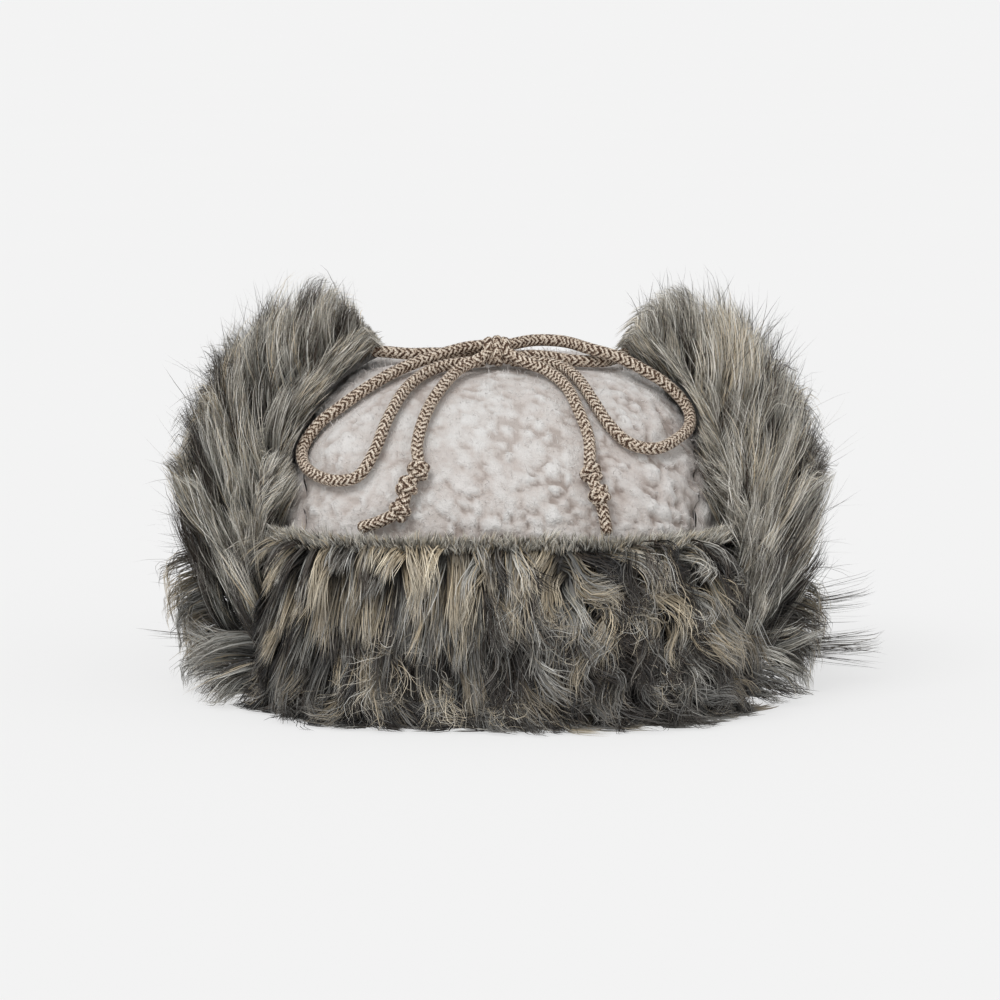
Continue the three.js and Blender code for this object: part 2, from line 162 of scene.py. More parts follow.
def run_of(line):
    """The distance along a line at each of its points."""
    return np.concatenate([[0], np.cumsum(np.linalg.norm(np.diff(line, axis=0), axis=1))])


def evenly(line, count):
    """The same line with its points at even distances."""
    run = run_of(line)
    even = np.linspace(0, run[-1], count)
    return np.stack([np.interp(even, run, line[:, k]) for k in range(3)], -1)


def tree_of(points):
    tree = kdtree.KDTree(len(points))
    for index, point in enumerate(points):
        tree.insert(point, index)
    tree.balance()
    return tree


def field(points, scale, shift=(0, 0, 0)):
    """Smooth random values at points."""
    return np.array([noise.noise(Vector(p) * scale + Vector(shift)) for p in points])


def blend(a, b, t):
    return a + (b - a) * t


def ease(x, low, high):
    """Rises smoothly from 0 at low to 1 at high."""
    t = np.clip((np.asarray(x, float) - low) / (high - low), 0, 1)
    return t * t * (3 - 2 * t)


def grid_faces(columns, rows, start=0, wrap_columns=False, wrap_rows=False):
    """Quads of a grid of points, closed round either way where it wraps."""
    i = np.arange(columns if wrap_columns else columns - 1)
    j = np.arange(rows if wrap_rows else rows - 1)
    i, j = np.meshgrid(i, j)
    i2 = (i + 1) % columns
    j2 = (j + 1) % rows
    quads = np.stack([j * columns + i, j * columns + i2, j2 * columns + i2, j2 * columns + i], -1)
    return quads.reshape(-1, 4) + start


# Materials
def lin(r, g, b):
    """A colour as seen on a screen, in the linear values of a shader."""
    def one(c):
        return c / 12.92 if c <= 0.04045 else ((c + 0.055) / 1.055) ** 2.4
    return (one(r), one(g), one(b), 1.0)


class Nodes:
    """A material's node tree, with a method for each kind of node."""

    def __init__(self, name):
        self.material = bpy.data.materials.new(name)
        self.material.use_nodes = True
        self.tree = self.material.node_tree
        self.shader = self.tree.nodes["Principled BSDF"]

    def feed(self, node, sockets):
        for key, value in sockets.items():
            if isinstance(value, (int, float, tuple)):
                node.inputs[key].default_value = value
            else:
                self.tree.links.new(value, node.inputs[key])

    def add(self, kind, sockets, **settings):
        node = self.tree.nodes.new(kind)
        for key, value in settings.items():
            setattr(node, key, value)
        self.feed(node, sockets)
        return node.outputs

    def attribute(self, name):
        return self.add("ShaderNodeAttribute", {}, attribute_name=name)["Fac"]

    def math(self, op, a, b, clamp=False):
        return self.add("ShaderNodeMath", {0: a, 1: b}, operation=op, use_clamp=clamp)[0]

    def ramp(self, value, stops):
        node = self.tree.nodes.new("ShaderNodeValToRGB")
        elements = node.color_ramp.elements
        while len(elements) < len(stops):
            elements.new(0.5)
        for element, (place, color) in zip(elements, stops):
            element.position = place
            element.color = color if len(color) == 4 else (*color, 1)
        self.feed(node, {"Fac": value})
        return node.outputs["Color"]

    def mix(self, factor, a, b, blend="MIX"):
        sockets = {"Factor": factor, "A": a, "B": b}
        return self.add("ShaderNodeMix", sockets, data_type="RGBA", blend_type=blend)["Result"]

    def noise(self, scale, detail=2.0, rough=0.5):
        place = self.add("ShaderNodeTexCoord", {})["Object"]
        sockets = {"Scale": scale, "Detail": detail, "Roughness": rough, "Vector": place}
        return self.add("ShaderNodeTexNoise", sockets)["Fac"]

    def bump(self, height, strength, distance):
        sockets = {"Strength": strength, "Distance": distance, "Height": height}
        self.feed(self.shader, {"Normal": self.add("ShaderNodeBump", sockets)["Normal"]})

    def finish(self, color, roughness, sheen=0.0, specular=0.3):
        self.feed(self.shader, {"Base Color": color, "Roughness": roughness, "Sheen Weight": sheen,
                                "Specular IOR Level": specular})
        return self.material


def fur_material(name):
    """Banded pile: along is 0 at a hair's root and 1 at its tip, family runs from cream to charcoal."""
    n = Nodes(name)
    along = n.attribute("along")
    family = n.attribute("family")
    shade = n.attribute("shade")
    root = n.ramp(family, [(0.0, lin(0.20, 0.18, 0.155)), (0.5, lin(0.22, 0.22, 0.215)),
                           (1.0, lin(0.09, 0.085, 0.08))])
    body = n.ramp(family, [(0.0, lin(0.75, 0.70, 0.61)), (0.25, lin(0.65, 0.59, 0.485)),
                           (0.45, lin(0.63, 0.63, 0.61)), (0.62, lin(0.40, 0.395, 0.375)),
                           (0.8, lin(0.265, 0.225, 0.185)), (1.0, lin(0.12, 0.112, 0.108))])
    tip = n.ramp(family, [(0.0, lin(0.82, 0.785, 0.71)), (0.25, lin(0.70, 0.65, 0.565)),
                          (0.45, lin(0.79, 0.785, 0.765)), (0.62, lin(0.50, 0.485, 0.455)),
                          (0.8, lin(0.21, 0.17, 0.14)), (1.0, lin(0.09, 0.086, 0.082))])
    # Hairs stay dark from the root to about half their length: partly the pile's own dark underfur, partly
    # painted shade between the locks, which lengthens the dark band.
    low = n.ramp(along, [(0.10, (0, 0, 0)), (0.55, (1, 1, 1))])
    high = n.ramp(along, [(0.55, (0, 0, 0)), (0.95, (1, 1, 1))])
    color = n.mix(high, n.mix(low, root, body), tip)
    # shade scales each hair's colour: random tone between hairs, plus painted shade near the floor and on
    # the lower front locks, and painted light on the right ear's inner side.
    value = n.ramp(shade, [(0.0, (0.50, 0.50, 0.51)), (0.5, (1.0, 1.0, 1.0)), (1.0, (1.75, 1.74, 1.72))])
    color = n.mix(1.0, color, value, "MULTIPLY")
    return n.finish(color, 0.42, 0.0, 0.5)


def fleece_material(name):
    """Curly pile: nub is 1 on a curl's crown and 0 between curls."""
    n = Nodes(name)
    nub = n.attribute("nub")
    # The colour darkens from a curl's crown to the gaps between curls: painted shade in the recesses.
    base = n.ramp(nub, [(0.0, lin(0.66, 0.61, 0.58)), (0.3, lin(0.84, 0.81, 0.79)),
                        (0.62, lin(0.91, 0.90, 0.89)), (1.0, lin(0.965, 0.957, 0.95))])
    patch = n.ramp(n.noise(34, 2), [(0.38, (0.93, 0.905, 0.895)), (0.62, (1.0, 1.0, 1.0))])
    color = n.mix(1.0, base, patch, "MULTIPLY")
    fuzz = n.math("ADD", n.noise(430, 3, 0.6), n.math("MULTIPLY", n.noise(1500, 3, 0.7), 0.4))
    n.bump(fuzz, 0.7, 0.0018)
    return n.finish(color, 0.95, 0.3, 0.05)


def braid_material(name):
    """Two-tone braid: yarn picks the yarn's colour, relief is its height."""
    n = Nodes(name)
    yarn = n.attribute("yarn")
    relief = n.attribute("relief")
    fleck = n.math("MULTIPLY", n.math("SUBTRACT", n.noise(1250, 1), 0.5), 1.9)
    two_tone = n.math("ADD", yarn, fleck, True)
    color = n.ramp(two_tone, [(0.0, lin(0.29, 0.215, 0.17)), (0.42, lin(0.42, 0.33, 0.27)),
                              (0.58, lin(0.84, 0.77, 0.69)), (1.0, lin(0.95, 0.91, 0.85))])
    # The colour darkens where the relief is low: painted shade in the grooves between yarns.
    depth = n.ramp(relief, [(0.0, (0.36, 0.32, 0.30)), (0.6, (1.0, 1.0, 1.0))])
    fibre = n.ramp(n.noise(1900, 2), [(0.3, (0.80, 0.79, 0.78)), (0.7, (1.12, 1.12, 1.12))])
    color = n.mix(1.0, n.mix(1.0, color, depth, "MULTIPLY"), fibre, "MULTIPLY")
    return n.finish(color, 0.8, 0.1, 0.2)


def ground_material(name):
    """The knitted ground that carries the pile."""
    n = Nodes(name)
    weave = n.noise(700, 4, 0.6)
    color = n.ramp(weave, [(0.3, lin(0.29, 0.285, 0.28)), (0.7, lin(0.45, 0.44, 0.43))])
    n.bump(weave, 0.5, 0.0008)
    return n.finish(color, 0.92, 0.15, 0.1)


fur_stuff = fur_material("fur_pile")
fleece_stuff = fleece_material("fleece_pile")
braid_stuff = braid_material("two_tone_braid")
ground_stuff = ground_material("fur_ground")

# Cords
CORD_R = 2.5
CORD_GAP = 0.3
TIE_LEFT = [(-5, -25, 0), (-16, -19.5, 0), (-28, -16.5, 0), (-38, -16.5, 0.5), (-48, -15, 2.5),
            (-57, -13.5, 5)]
LOOP_LEFT = [(-4, -27, 5.4), (-14, -26, 4.2), (-25, -29, 2.2), (-40, -37, 0.3), (-53, -47, 0),
             (-65, -53, 0), (-74.5, -53, 0), (-81, -55, 0), (-80.5, -63, 0), (-75, -74, 0),
             (-66.5, -82.5, 0), (-57.5, -86, 0), (-51, -81.5, 0), (-46, -71, 0), (-37.5, -53.5, 0),
             (-25.5, -38.5, 0), (-6, -31, 0)]
TAIL_LEFT = [(-3, -33, 5), (-9, -38, 2.8), (-16.5, -43, 1), (-23.5, -55, 0), (-30, -70, 0),
             (-33.5, -82, 0), (-33, -90.5, 1), (-37, -94.5, 1.5), (-40, -98, 1), (-47, -98.5, 0.8),
             (-57, -97, 0.6)]
LOOP_RIGHT = [(3.5, -26.5, 5.4), (14.5, -19.5, 5.8), (26.5, -21, 5.8), (37.8, -30.5, 5.6),
              (48.5, -33, 4.8), (59.5, -35.5, 3.4), (69.7, -38, 3), (77.5, -43, 2.6), (78.2, -52, 2),
              (74, -62.5, 1.2), (63, -75.3, 0.2), (52.5, -78, 0), (44.5, -73.5, 0), (38, -63, 0),
              (31.5, -48, 0), (23.5, -36.5, 0), (4, -30.5, 0)]
TAIL_RIGHT = [(1, -33, 5), (9, -38.5, 2.6), (18.5, -42.5, 0.5), (27, -55, 0), (32.3, -69.5, 0),
              (36, -80, 0), (36.5, -91, 1), (39.7, -96, 1.5), (41.7, -98.8, 1), (43, -101, 0.5)]
TIE_RIGHT = [(4, -25, 0), (16, -23, 0), (31, -29, 0), (42, -26.5, 0), (47.5, -20.5, 0.5), (52, -16, 2.5),
             (58, -13, 5)]
KNOT_AT = (-1, -29.5, 4)
STOPPERS_LEFT = (6, 7, 8)
STOPPERS_RIGHT = (6, 7)


def over_crown(x, y, lift):
    """Middle of a cord that lies on the crown above x, y."""
    step = 0.01
    sx = (crown_height(x + step, y) - crown_height(x - step, y)) / (2 * step)
    sy = (crown_height(x, y + step) - crown_height(x, y - step)) / (2 * step)
    normal = unit(np.array([-sx, -sy, 1.0]))
    return np.array([x, y, crown_height(x, y)]) + normal * (CORD_R + CORD_GAP + lift)


def cord_point(place):
    """Middle of a cord that is seen from above at a place of its route, found by approach."""
    x, y, lift = place
    sx, sy = float(x), float(y)
    point = over_crown(sx, sy, lift)
    for _ in range(12):
        sx += 0.7 * (x - point[0])
        sy += 0.7 * (y - point[1])
        point = over_crown(sx, sy, lift)
    return point


def smooth_line(points, step):
    """Centripetal spline through the points, sampled evenly."""
    p = np.array(points, float)
    p = np.vstack([2 * p[0] - p[1], p, 2 * p[-1] - p[-2]])
    line = []
    for i in range(1, len(p) - 2):
        q = p[i - 1:i + 3]
        gaps = np.linalg.norm(np.diff(q, axis=0), axis=1)
        t = np.concatenate([[0], np.cumsum(np.maximum(gaps, 1e-6) ** 0.5)])
        u = np.linspace(t[1], t[2], 60, endpoint=False)[:, None]

        def between(i, j, a, b):
            return (t[j] - u) / (t[j] - t[i]) * a + (u - t[i]) / (t[j] - t[i]) * b

        near, middle, far = (between(k, k + 1, q[k], q[k + 1]) for k in range(3))
        line.append(between(1, 2, between(0, 2, near, middle), between(1, 3, middle, far)))
    line = np.vstack(line + [p[-2:-1]])
    length = run_of(line)[-1]
    return evenly(line, max(int(length / step), 8) + 1), length


def carried_frames(line):
    """Unit tangents and a normal carried along the line without twisting."""
    tangent = unit(np.gradient(line, axis=0))
    normal = np.zeros_like(line)
    n = np.cross(tangent[0], [0.3, 0.2, 1.0])
    for i, t in enumerate(tangent):
        n = n - t * np.dot(n, t)
        n = n / np.linalg.norm(n)
        normal[i] = n
    return tangent, normal, np.cross(tangent, normal)


COLUMNS = 6
YARN_PITCH = 1.15
YARN_STEP = YARN_PITCH / 2


def braid_tube(name, line, radius, seed, columns=COLUMNS):
    """A plaited cord: yarns slant one way in one column and back in the next, so they meet in chevrons.
    It has four points across a column and two along a yarn, so crests and grooves fall on its points."""
    line = evenly(line, max(int(run_of(line)[-1] / YARN_STEP), 8))
    tangent, normal, binormal = carried_frames(line)
    run = run_of(line)
    sides = 4 * columns
    ring, turn = np.meshgrid(np.arange(len(line)), np.arange(sides), indexing="ij")
    column, across = turn // 4, turn % 4
    slant = np.where(column % 2 == 0, across, 4 - across)
    phase = ring + slant + seed
    crest = phase % 2 == 1
    yarn_index = phase // 2
    lumpy = 0.5 + 0.5 * np.sin(1.7 * yarn_index + 2.3 * column + seed)
    pale = yarn_index % 2 == 0
    yarn = np.where(pale, 0.70 + 0.30 * lumpy, 0.02 + 0.34 * lumpy)
    edge = across == 0
    # Column edges get a lower relief, which the shader paints darker: painted shade where the columns meet.
    relief = np.where(crest, 1.0, 0.0) * np.where(edge, 0.55, 1.0)
    ends = np.minimum(run, run[-1] - run)
    size = radius * np.clip(0.35 + 0.65 * np.sqrt(np.clip(ends / 1.2, 0, 1)), 0, 1)
    r = size[:, None] * (0.91 + 0.10 * relief - 0.03 * edge)
    angle = 2 * PI * turn / sides
    spokes = np.cos(angle)[..., None] * normal[:, None] + np.sin(angle)[..., None] * binormal[:, None]
    points = (line[:, None] + spokes * r[..., None]).reshape(-1, 3)
    quads = grid_faces(sides, len(line), wrap_columns=True)
    first = crest.reshape(-1)[quads[:, 0]]
    one = np.where(first[:, None], quads[:, [0, 1, 2]], quads[:, [0, 1, 3]])
    two = np.where(first[:, None], quads[:, [0, 2, 3]], quads[:, [1, 2, 3]])
    caps = [len(points), len(points) + 1]
    points = np.vstack([points, line[0], line[-1]])
    k = np.arange(sides)
    last = (len(line) - 1) * sides
    tips = np.vstack([np.stack([(k + 1) % sides, k, np.full(sides, caps[0])], -1),
                      np.stack([last + k, last + (k + 1) % sides, np.full(sides, caps[1])], -1)])
    # The end caps take a middle relief, which paints them part way into the groove shade.
    values = {"yarn": np.append(yarn.reshape(-1), [0.2, 0.2]),
              "relief": np.append(relief.reshape(-1), [0.3, 0.3])}
    return add_mesh(name, points, [np.vstack([one, two, tips])], braid_stuff, values)


ROUTES = {"tie_cord_left": TIE_LEFT, "tie_cord_right": TIE_RIGHT, "bow_loop_left": LOOP_LEFT,
          "bow_loop_right": LOOP_RIGHT, "bow_tail_left": TAIL_LEFT, "bow_tail_right": TAIL_RIGHT}
cords = {}
for seed, (name, route) in enumerate(ROUTES.items(), 1):
    line, length = smooth_line([cord_point(p) for p in route], 0.42)
    piece = dress(braid_tube(name + "_braid", line, CORD_R, seed), name)
    cords[name] = (piece, line, length)


def coil_line(centre, axis, radius, turns, pitch, start=0.0):
    """A wrap of cord round an axis."""
    axis = unit(np.asarray(axis, float))
    side = unit(np.cross(axis, [0.2, 0.1, 1.0]))
    lift = np.cross(axis, side)
    count = int(turns * 30)
    t = np.linspace(-0.5, 0.5, count)
    turn = 2 * PI * (turns * t + start)
    tuck = 1 - 0.35 * np.clip((np.abs(t) - 0.38) / 0.12, 0, 1)
    ring = np.cos(turn)[:, None] * side + np.sin(turn)[:, None] * lift
    return centre + axis * (pitch * turns * t)[:, None] + ring * (radius * tuck)[:, None]


stoppers = {"bow_tail_left": [], "bow_tail_right": []}
for name, places in (("bow_tail_left", STOPPERS_LEFT), ("bow_tail_right", STOPPERS_RIGHT)):
    line = cords[name][1]
    for n, place in enumerate(places):
        centre = cord_point(ROUTES[name][place])
        near = int(np.argmin(np.linalg.norm(line - centre, axis=1)))
        axis = line[min(near + 6, len(line) - 1)] - line[max(near - 6, 0)]
        wrap = coil_line(line[near], axis, 2.7, 1.7, 3.4, 0.3 * n)
        stoppers[name].append(dress(braid_tube(f"{name}_stopper_{n + 1}", wrap, 2.0, 11 + n, 4)))

knot_centre = over_crown(*KNOT_AT)
KNOT_WRAPS = ((-3.2, 3.7, 0.1), (0.0, 4.3, 0.45), (3.2, 3.7, 0.8))
for n, (dx, r, start) in enumerate(KNOT_WRAPS):
    wrap = coil_line(knot_centre + np.array([dx, 0, 0]), (1, 0.12 * (n - 1), 0.1), r, 1.05, 0.6, start)
    dress(braid_tube(f"bow_knot_wrap_{n + 1}", wrap, 2.35, 21 + n))
core = np.stack([np.linspace(-5.5, 5.5, 30), np.zeros(30), np.zeros(30)], -1) + knot_centre
dress(braid_tube("bow_knot_core", core, 4.0, 30, 8), "bow_knot")


# Fleece crown
SEAM_X = 81.0
SEAM_GAP = 0.2
WALL = 12


def arc_point(x, tau, a, b, h):
    """Point of the crown's strip: x across, tau from the front rim (0) over the top to the back rim (pi)."""
    k = np.clip(1 - (np.abs(x) / a) ** NX, 0, None)
    c, s = np.cos(tau), np.sin(tau)
    y = -b * k ** (1 / NY) * np.sign(c) * np.abs(c) ** (2 / NY)
    z = h * k ** (1 / NZ) * np.clip(s, 0, None) ** (2 / NZ)
    return np.stack([x + 0 * tau, y, z], -1)


def even_taus(count, wall, x):
    """Values of tau at even distances along the strip at x, wall inside the crown's outer face."""
    fine = np.linspace(0, PI, 4000)
    run = run_of(arc_point(np.full(4000, x), fine, CA - wall, CB - wall, CH - wall))
    return np.interp(np.linspace(0, run[-1], count), run, fine)


def crown_normal(p):
    x, y, z = p[..., 0], p[..., 1], p[..., 2]
    return unit(np.stack([NX * np.abs(x) ** (NX - 1) / CA ** NX * np.sign(x),
                          NY * np.abs(y) ** (NY - 1) / CB ** NY * np.sign(y),
                          NZ * np.abs(z) ** (NZ - 1) / CH ** NZ], -1))


def scattered(points, spacing, rng):
    """A subset of the points that keeps the spacing, in random order."""
    cells = {}
    kept = []
    for index in rng.permutation(len(points)):
        p = points[index]
        cell = tuple(np.floor(p / spacing).astype(int))
        near = False
        for dx in (-1, 0, 1):
            for dy in (-1, 0, 1):
                for dz in (-1, 0, 1):
                    for q in cells.get((cell[0] + dx, cell[1] + dy, cell[2] + dz), ()):
                        if (p[0] - q[0]) ** 2 + (p[1] - q[1]) ** 2 + (p[2] - q[2]) ** 2 < spacing ** 2:
                            near = True
        if not near:
            cells.setdefault(cell, []).append(p)
            kept.append(p)
    return np.array(kept)


# The vector noise starts from the clock unless it has a seed.
noise.seed_set(7)
fleece_skin = {}
cord_tree = tree_of(np.vstack([line[::3] for _, line, _ in cords.values()]))


def curl_relief(points, normals, rng, spacing, height):
    """Height and nub value of curly pile: petals that overhang downward, of many sizes and directions."""
    centres = scattered(points, spacing, rng)
    tree = tree_of(centres)
    count = len(centres)
    size = spacing * (0.62 + 0.55 * rng.random(count) ** 1.5)
    tall = 0.45 + 0.55 * rng.random(count)
    spin = rng.normal(0, 0.7, count)
    narrow = 0.65 + 0.5 * rng.random(count)
    warp = np.zeros(points.shape)
    for scale, most, shift in ((0.13, 2.6, (0, 0, 0)), (0.42, 1.3, (7, 3, 5)), (1.1, 0.45, (1, 9, 2))):
        swirl = [tuple(noise.noise_vector(Vector(p) * scale + Vector(shift))) for p in points]
        warp += np.array(swirl) * most
    moved = points + warp
    index = np.array([[found[1] for found in tree.find_n(p, 5)] for p in moved])
    away = moved[:, None] - centres[index]
    sideways = unit(np.cross(normals, [0.02, 0.05, 1.0]))
    down = -np.cross(sideways, normals)
    down = np.where(down[:, 2:] > 0, -down, down)
    a = (away * sideways[:, None]).sum(-1)
    d = (away * down[:, None]).sum(-1)
    turn = spin[index]
    across = (a * np.cos(turn) - d * np.sin(turn)) / narrow[index]
    fall = a * np.sin(turn) + d * np.cos(turn)
    reach = size[index]
    r = np.sqrt(across ** 2 + fall ** 2) / reach
    petal = np.clip(1 - r ** 2.2, 0, 1) ** 0.55 * (0.78 + 0.30 * fall / reach)
    lump = (petal * tall[index]).max(axis=1)
    fine = field(points, 0.75) + 0.6 * field(points, 1.7)
    broad = field(points, 0.035, (4, 4, 4))
    value = np.clip(lump + 0.13 * fine, 0, 1)
    return value * height + 1.3 * broad, value


def crown_panel(name, node, surface, n_across, n_out, n_in, seed, seam_edges):
    """A panel as one sheet that runs over the outside, round the rim and back inside."""
    rng = np.random.default_rng(seed)
    across = np.linspace(0, 1, n_across)
    u, t = np.meshgrid(across, even_taus(n_out, 0, surface["along"]))
    outer = surface["point"](u, t, 0)
    flat = outer.reshape(-1, 3)
    normals = crown_normal(outer).reshape(-1, 3)
    calm = np.clip(0.62 + 0.008 * flat[:, 0] + 0.012 * (105 - flat[:, 2]), 0.55, 1.0)
    lift, nub = curl_relief(flat, normals, rng, 4.7, 4.0)
    lift = lift * calm + 1.2 * (1 - calm)
    nub = 0.62 + (nub - 0.62) * (0.35 + 0.65 * calm)
    seam = np.zeros(u.shape)
    for edge in seam_edges:
        seam = np.maximum(seam, np.exp(-((u - edge) * surface["width"] / 3.2) ** 2))
    seam = seam.reshape(-1) * ease(field(flat, 0.11, (5, 2, 8)), -0.35, 0.25)
    rim = np.clip(flat[:, 2] / 6, 0, 1)
    lift = (lift - 1.1) * rim * (1 - 0.8 * seam) - 2.6 * seam
    near = np.full(len(flat), 50.0)
    for index in np.nonzero(flat[:, 2] > 60)[0]:
        near[index] = cord_tree.find(flat[index])[2]
    pressed = 1 - ease(near, 4.5, 10)
    lift = lift * (1 - pressed) - 0.9 * pressed
    # The seam groove takes the dark colour of the gaps between curls: painted shade in the groove.
    nub = nub * (1 - 0.75 * seam)
    outer = flat + normals * lift[:, None]
    outer[:, 2] = np.maximum(outer[:, 2], 0.0)
    fleece_skin[name] = (outer.copy(), normals, nub)
    u, t = np.meshgrid(across, even_taus(n_in, WALL, surface["along"])[::-1])
    inner = surface["point"](u, t, WALL).reshape(-1, 3)
    nubs = np.concatenate([nub, 0.35 + 0.4 * (0.5 + 0.5 * field(inner, 0.3))])
    faces = grid_faces(n_across, n_out + n_in, wrap_rows=True)
    piece = add_mesh(name, np.vstack([outer, inner]), faces[:, ::-1], fleece_stuff, {"nub": nubs})
    dress(piece, node)


def strip_point(u, t, wall):
    x = (2 * u - 1) * (SEAM_X - SEAM_GAP)
    return arc_point(x, t, CA - wall, CB - wall, CH - wall)


strip = {"point": strip_point, "width": 2 * SEAM_X, "along": 30.0}
crown_panel("crown_centre_fleece", "crown_centre_panel", strip, 124, 320, 40, 11, (0.0, 1.0))


def side_surface(hand):
    def point(u, t, wall):
        a, b, h = CA - wall, CB - wall, CH - wall
        k0 = 1 - ((SEAM_X + SEAM_GAP) / a) ** NX
        k = k0 * (1 - u) ** 1.6
        x = a * (1 - k) ** (1 / NX)
        p = arc_point(x, t, a, b, h)
        p[..., 0] = hand * p[..., 0]
        return p
    return {"point": point, "width": 95, "along": SEAM_X + SEAM_GAP}


for hand, word in ((-1, "left"), (1, "right")):
    node = f"crown_side_{word}"
    crown_panel(f"{node}_fleece", node, side_surface(hand), 44, 150, 26, 20 + hand, (0.0,))

# Flap grounds
def flap_ground(name, low, high, ear, columns, rows):
    """The knitted ground that carries the pile: a closed slab against the crown."""
    b, v = np.meshgrid(np.linspace(low, high, columns), np.linspace(0, 1, rows))
    inner = flap_surface(b, v, 0.4, ear).reshape(-1, 3)
    outer = flap_surface(b, v * 0.99 + 0.004, 4.0, ear).reshape(-1, 3)
    outer[:, 2] = np.maximum(outer[:, 2], 0.0)
    count = columns * rows
    faces = [grid_faces(columns, rows)[:, ::-1], grid_faces(columns, rows, count)]
    edge = np.concatenate([np.arange(columns), columns * np.arange(1, rows) + columns - 1,
                           count - 2 - np.arange(columns - 1), columns * np.arange(rows - 2, 0, -1)])
    after = np.roll(edge, -1)
    faces.append(np.stack([edge, after, after + count, edge + count], -1))
    dress(add_mesh(name, np.vstack([inner, outer]), np.vstack(faces), ground_stuff))


flap_ground("front_flap_ground", -51.8, 51.8, False, 60, 20)
flap_ground("ear_flap_left_ground", -179.8, -52.2, True, 80, 30)
flap_ground("ear_flap_right_ground", 52.2, 179.8, True, 80, 30)


# Fur
SHARE = 1.0


def ribbons(name, paths, widths, normals, attributes, material):
    """Tapered ribbons, one for each path: paths (n, s, 3), widths (n, s), normals (n, 3)."""
    n, s, _ = paths.shape
    tangent = unit(np.gradient(paths, axis=1))
    side = unit(np.cross(tangent, normals[:, None]))
    left = paths - side * widths[..., None] / 2
    right = paths + side * widths[..., None] / 2
    points = np.concatenate([np.stack([left[:, :-1], right[:, :-1]], 2).reshape(n, -1, 3), paths[:, -1:]], 1)
    per = 2 * (s - 1) + 1
    base = (np.arange(n) * per)[:, None, None]
    k = np.arange(s - 2)
    quads = np.stack([2 * k, 2 * k + 1, 2 * k + 3, 2 * k + 2], -1)[None] + base
    tips = np.array([[2 * (s - 2), 2 * (s - 2) + 1, 2 * (s - 1)]])[None] + base
    values = {}
    for key, value in attributes.items():
        value = np.broadcast_to(value if value.ndim == 2 else value[:, None], (n, s))
        values[key] = np.concatenate([np.repeat(value[:, :-1], 2, axis=1), value[:, -1:]], 1).reshape(-1)
    faces = [quads.reshape(-1, 4), tips.reshape(-1, 3)]
    return add_mesh(name, points.reshape(-1, 3), faces, material, values)


def nearest(points, centres):
    """Index of the centre nearest to each point."""
    index = np.zeros(len(points), int)
    for start in range(0, len(points), 4000):
        block = points[start:start + 4000]
        index[start:start + 4000] = np.argmin(((block[:, None] - centres[None]) ** 2).sum(-1), axis=1)
    return index


def toward(frames, out=0.0, along=0.0, across=0.0, rise=0.0, away=0.0, inward=0.0):
    """Unit directions mixed from the sheet's own axes, the vertical, the level way out and the way in."""
    p, o, a, c = frames

    def column(value):
        return np.broadcast_to(np.asarray(value, float), (len(p),))[:, None]

    level = unit(p * np.array([1, 1, 0]))
    middle = np.stack([-np.sign(p[:, 0]), 0 * p[:, 0], 0 * p[:, 0]], -1)
    vertical = np.array([0.0, 0.0, 1.0])
    return unit(o * column(out) + a * column(along) + c * column(across) + vertical * column(rise)
                + level * column(away) + middle * column(inward))


def plan_excess(points):
    """How far outside the crown's widest outline points lie, and their plan radius."""
    bearing = np.degrees(np.arctan2(points[..., 0], -points[..., 1]))
    edge = plan_radius(CA, CB, bearing, 1.0)
    r = np.hypot(points[..., 0], points[..., 1])
    return r - edge, r


# The ear flap's outline from the front: how high the pile reaches at each distance from the middle
OUTLINE_X = (40, 45, 49, 53, 60, 72, 82, 92, 105, 117, 130, 137)
OUTLINE_Z = (137, 138, 140, 147, 158, 168, 168, 161, 148, 134, 114, 90)
SIDE_Z = (4, 15, 30, 50, 90, 114, 134, 148, 161)
SIDE_X = (126, 130, 135, 141, 139, 131, 119, 107, 94)


def within_outline(path, slack, ragged):
    """Draws hairs that pass the ear flap's outline back to it; ragged moves the outline for each hair."""
    middle = np.array([0.0, 0.0, 60.0])
    spread = np.array([1.0, 0.0, 1.0]) * (path - middle)
    spread = unit(spread) * ragged[:, None, None]
    path = path - spread
    x, z = np.abs(path[..., 0]), path[..., 2]
    past = np.clip(z - np.interp(x, OUTLINE_X, OUTLINE_Z), 0, None)
    high = ease(z, 70, 110)
    path[..., 2] -= (1 - slack) * past * high
    wide = np.clip(x - np.interp(path[..., 2], SIDE_Z, SIDE_X), 0, None)
    path[..., 0] -= np.sign(path[..., 0]) * (1 - slack) * wide * (1 - 0.6 * high)
    path = path + spread
    beyond = np.clip(np.abs(path[..., 0]) - 156, 0, None)
    path[..., 0] -= np.sign(path[..., 0]) * beyond * beyond / (beyond + 16)
    above = np.clip(path[..., 2] - 174, 0, None)
    path[..., 2] -= above * above / (above + 8)
    return path


EYE = (aim - DISTANCE * fwd) / MM


def seen_at(points):
    """Where points are seen from the front, in millimetres at the hat's middle, and how far off they are."""
    rays = points - EYE
    far = rays @ fwd
    return np.stack([rays[..., 0], rays @ up], -1) / far[..., None] * DISTANCE / MM, far


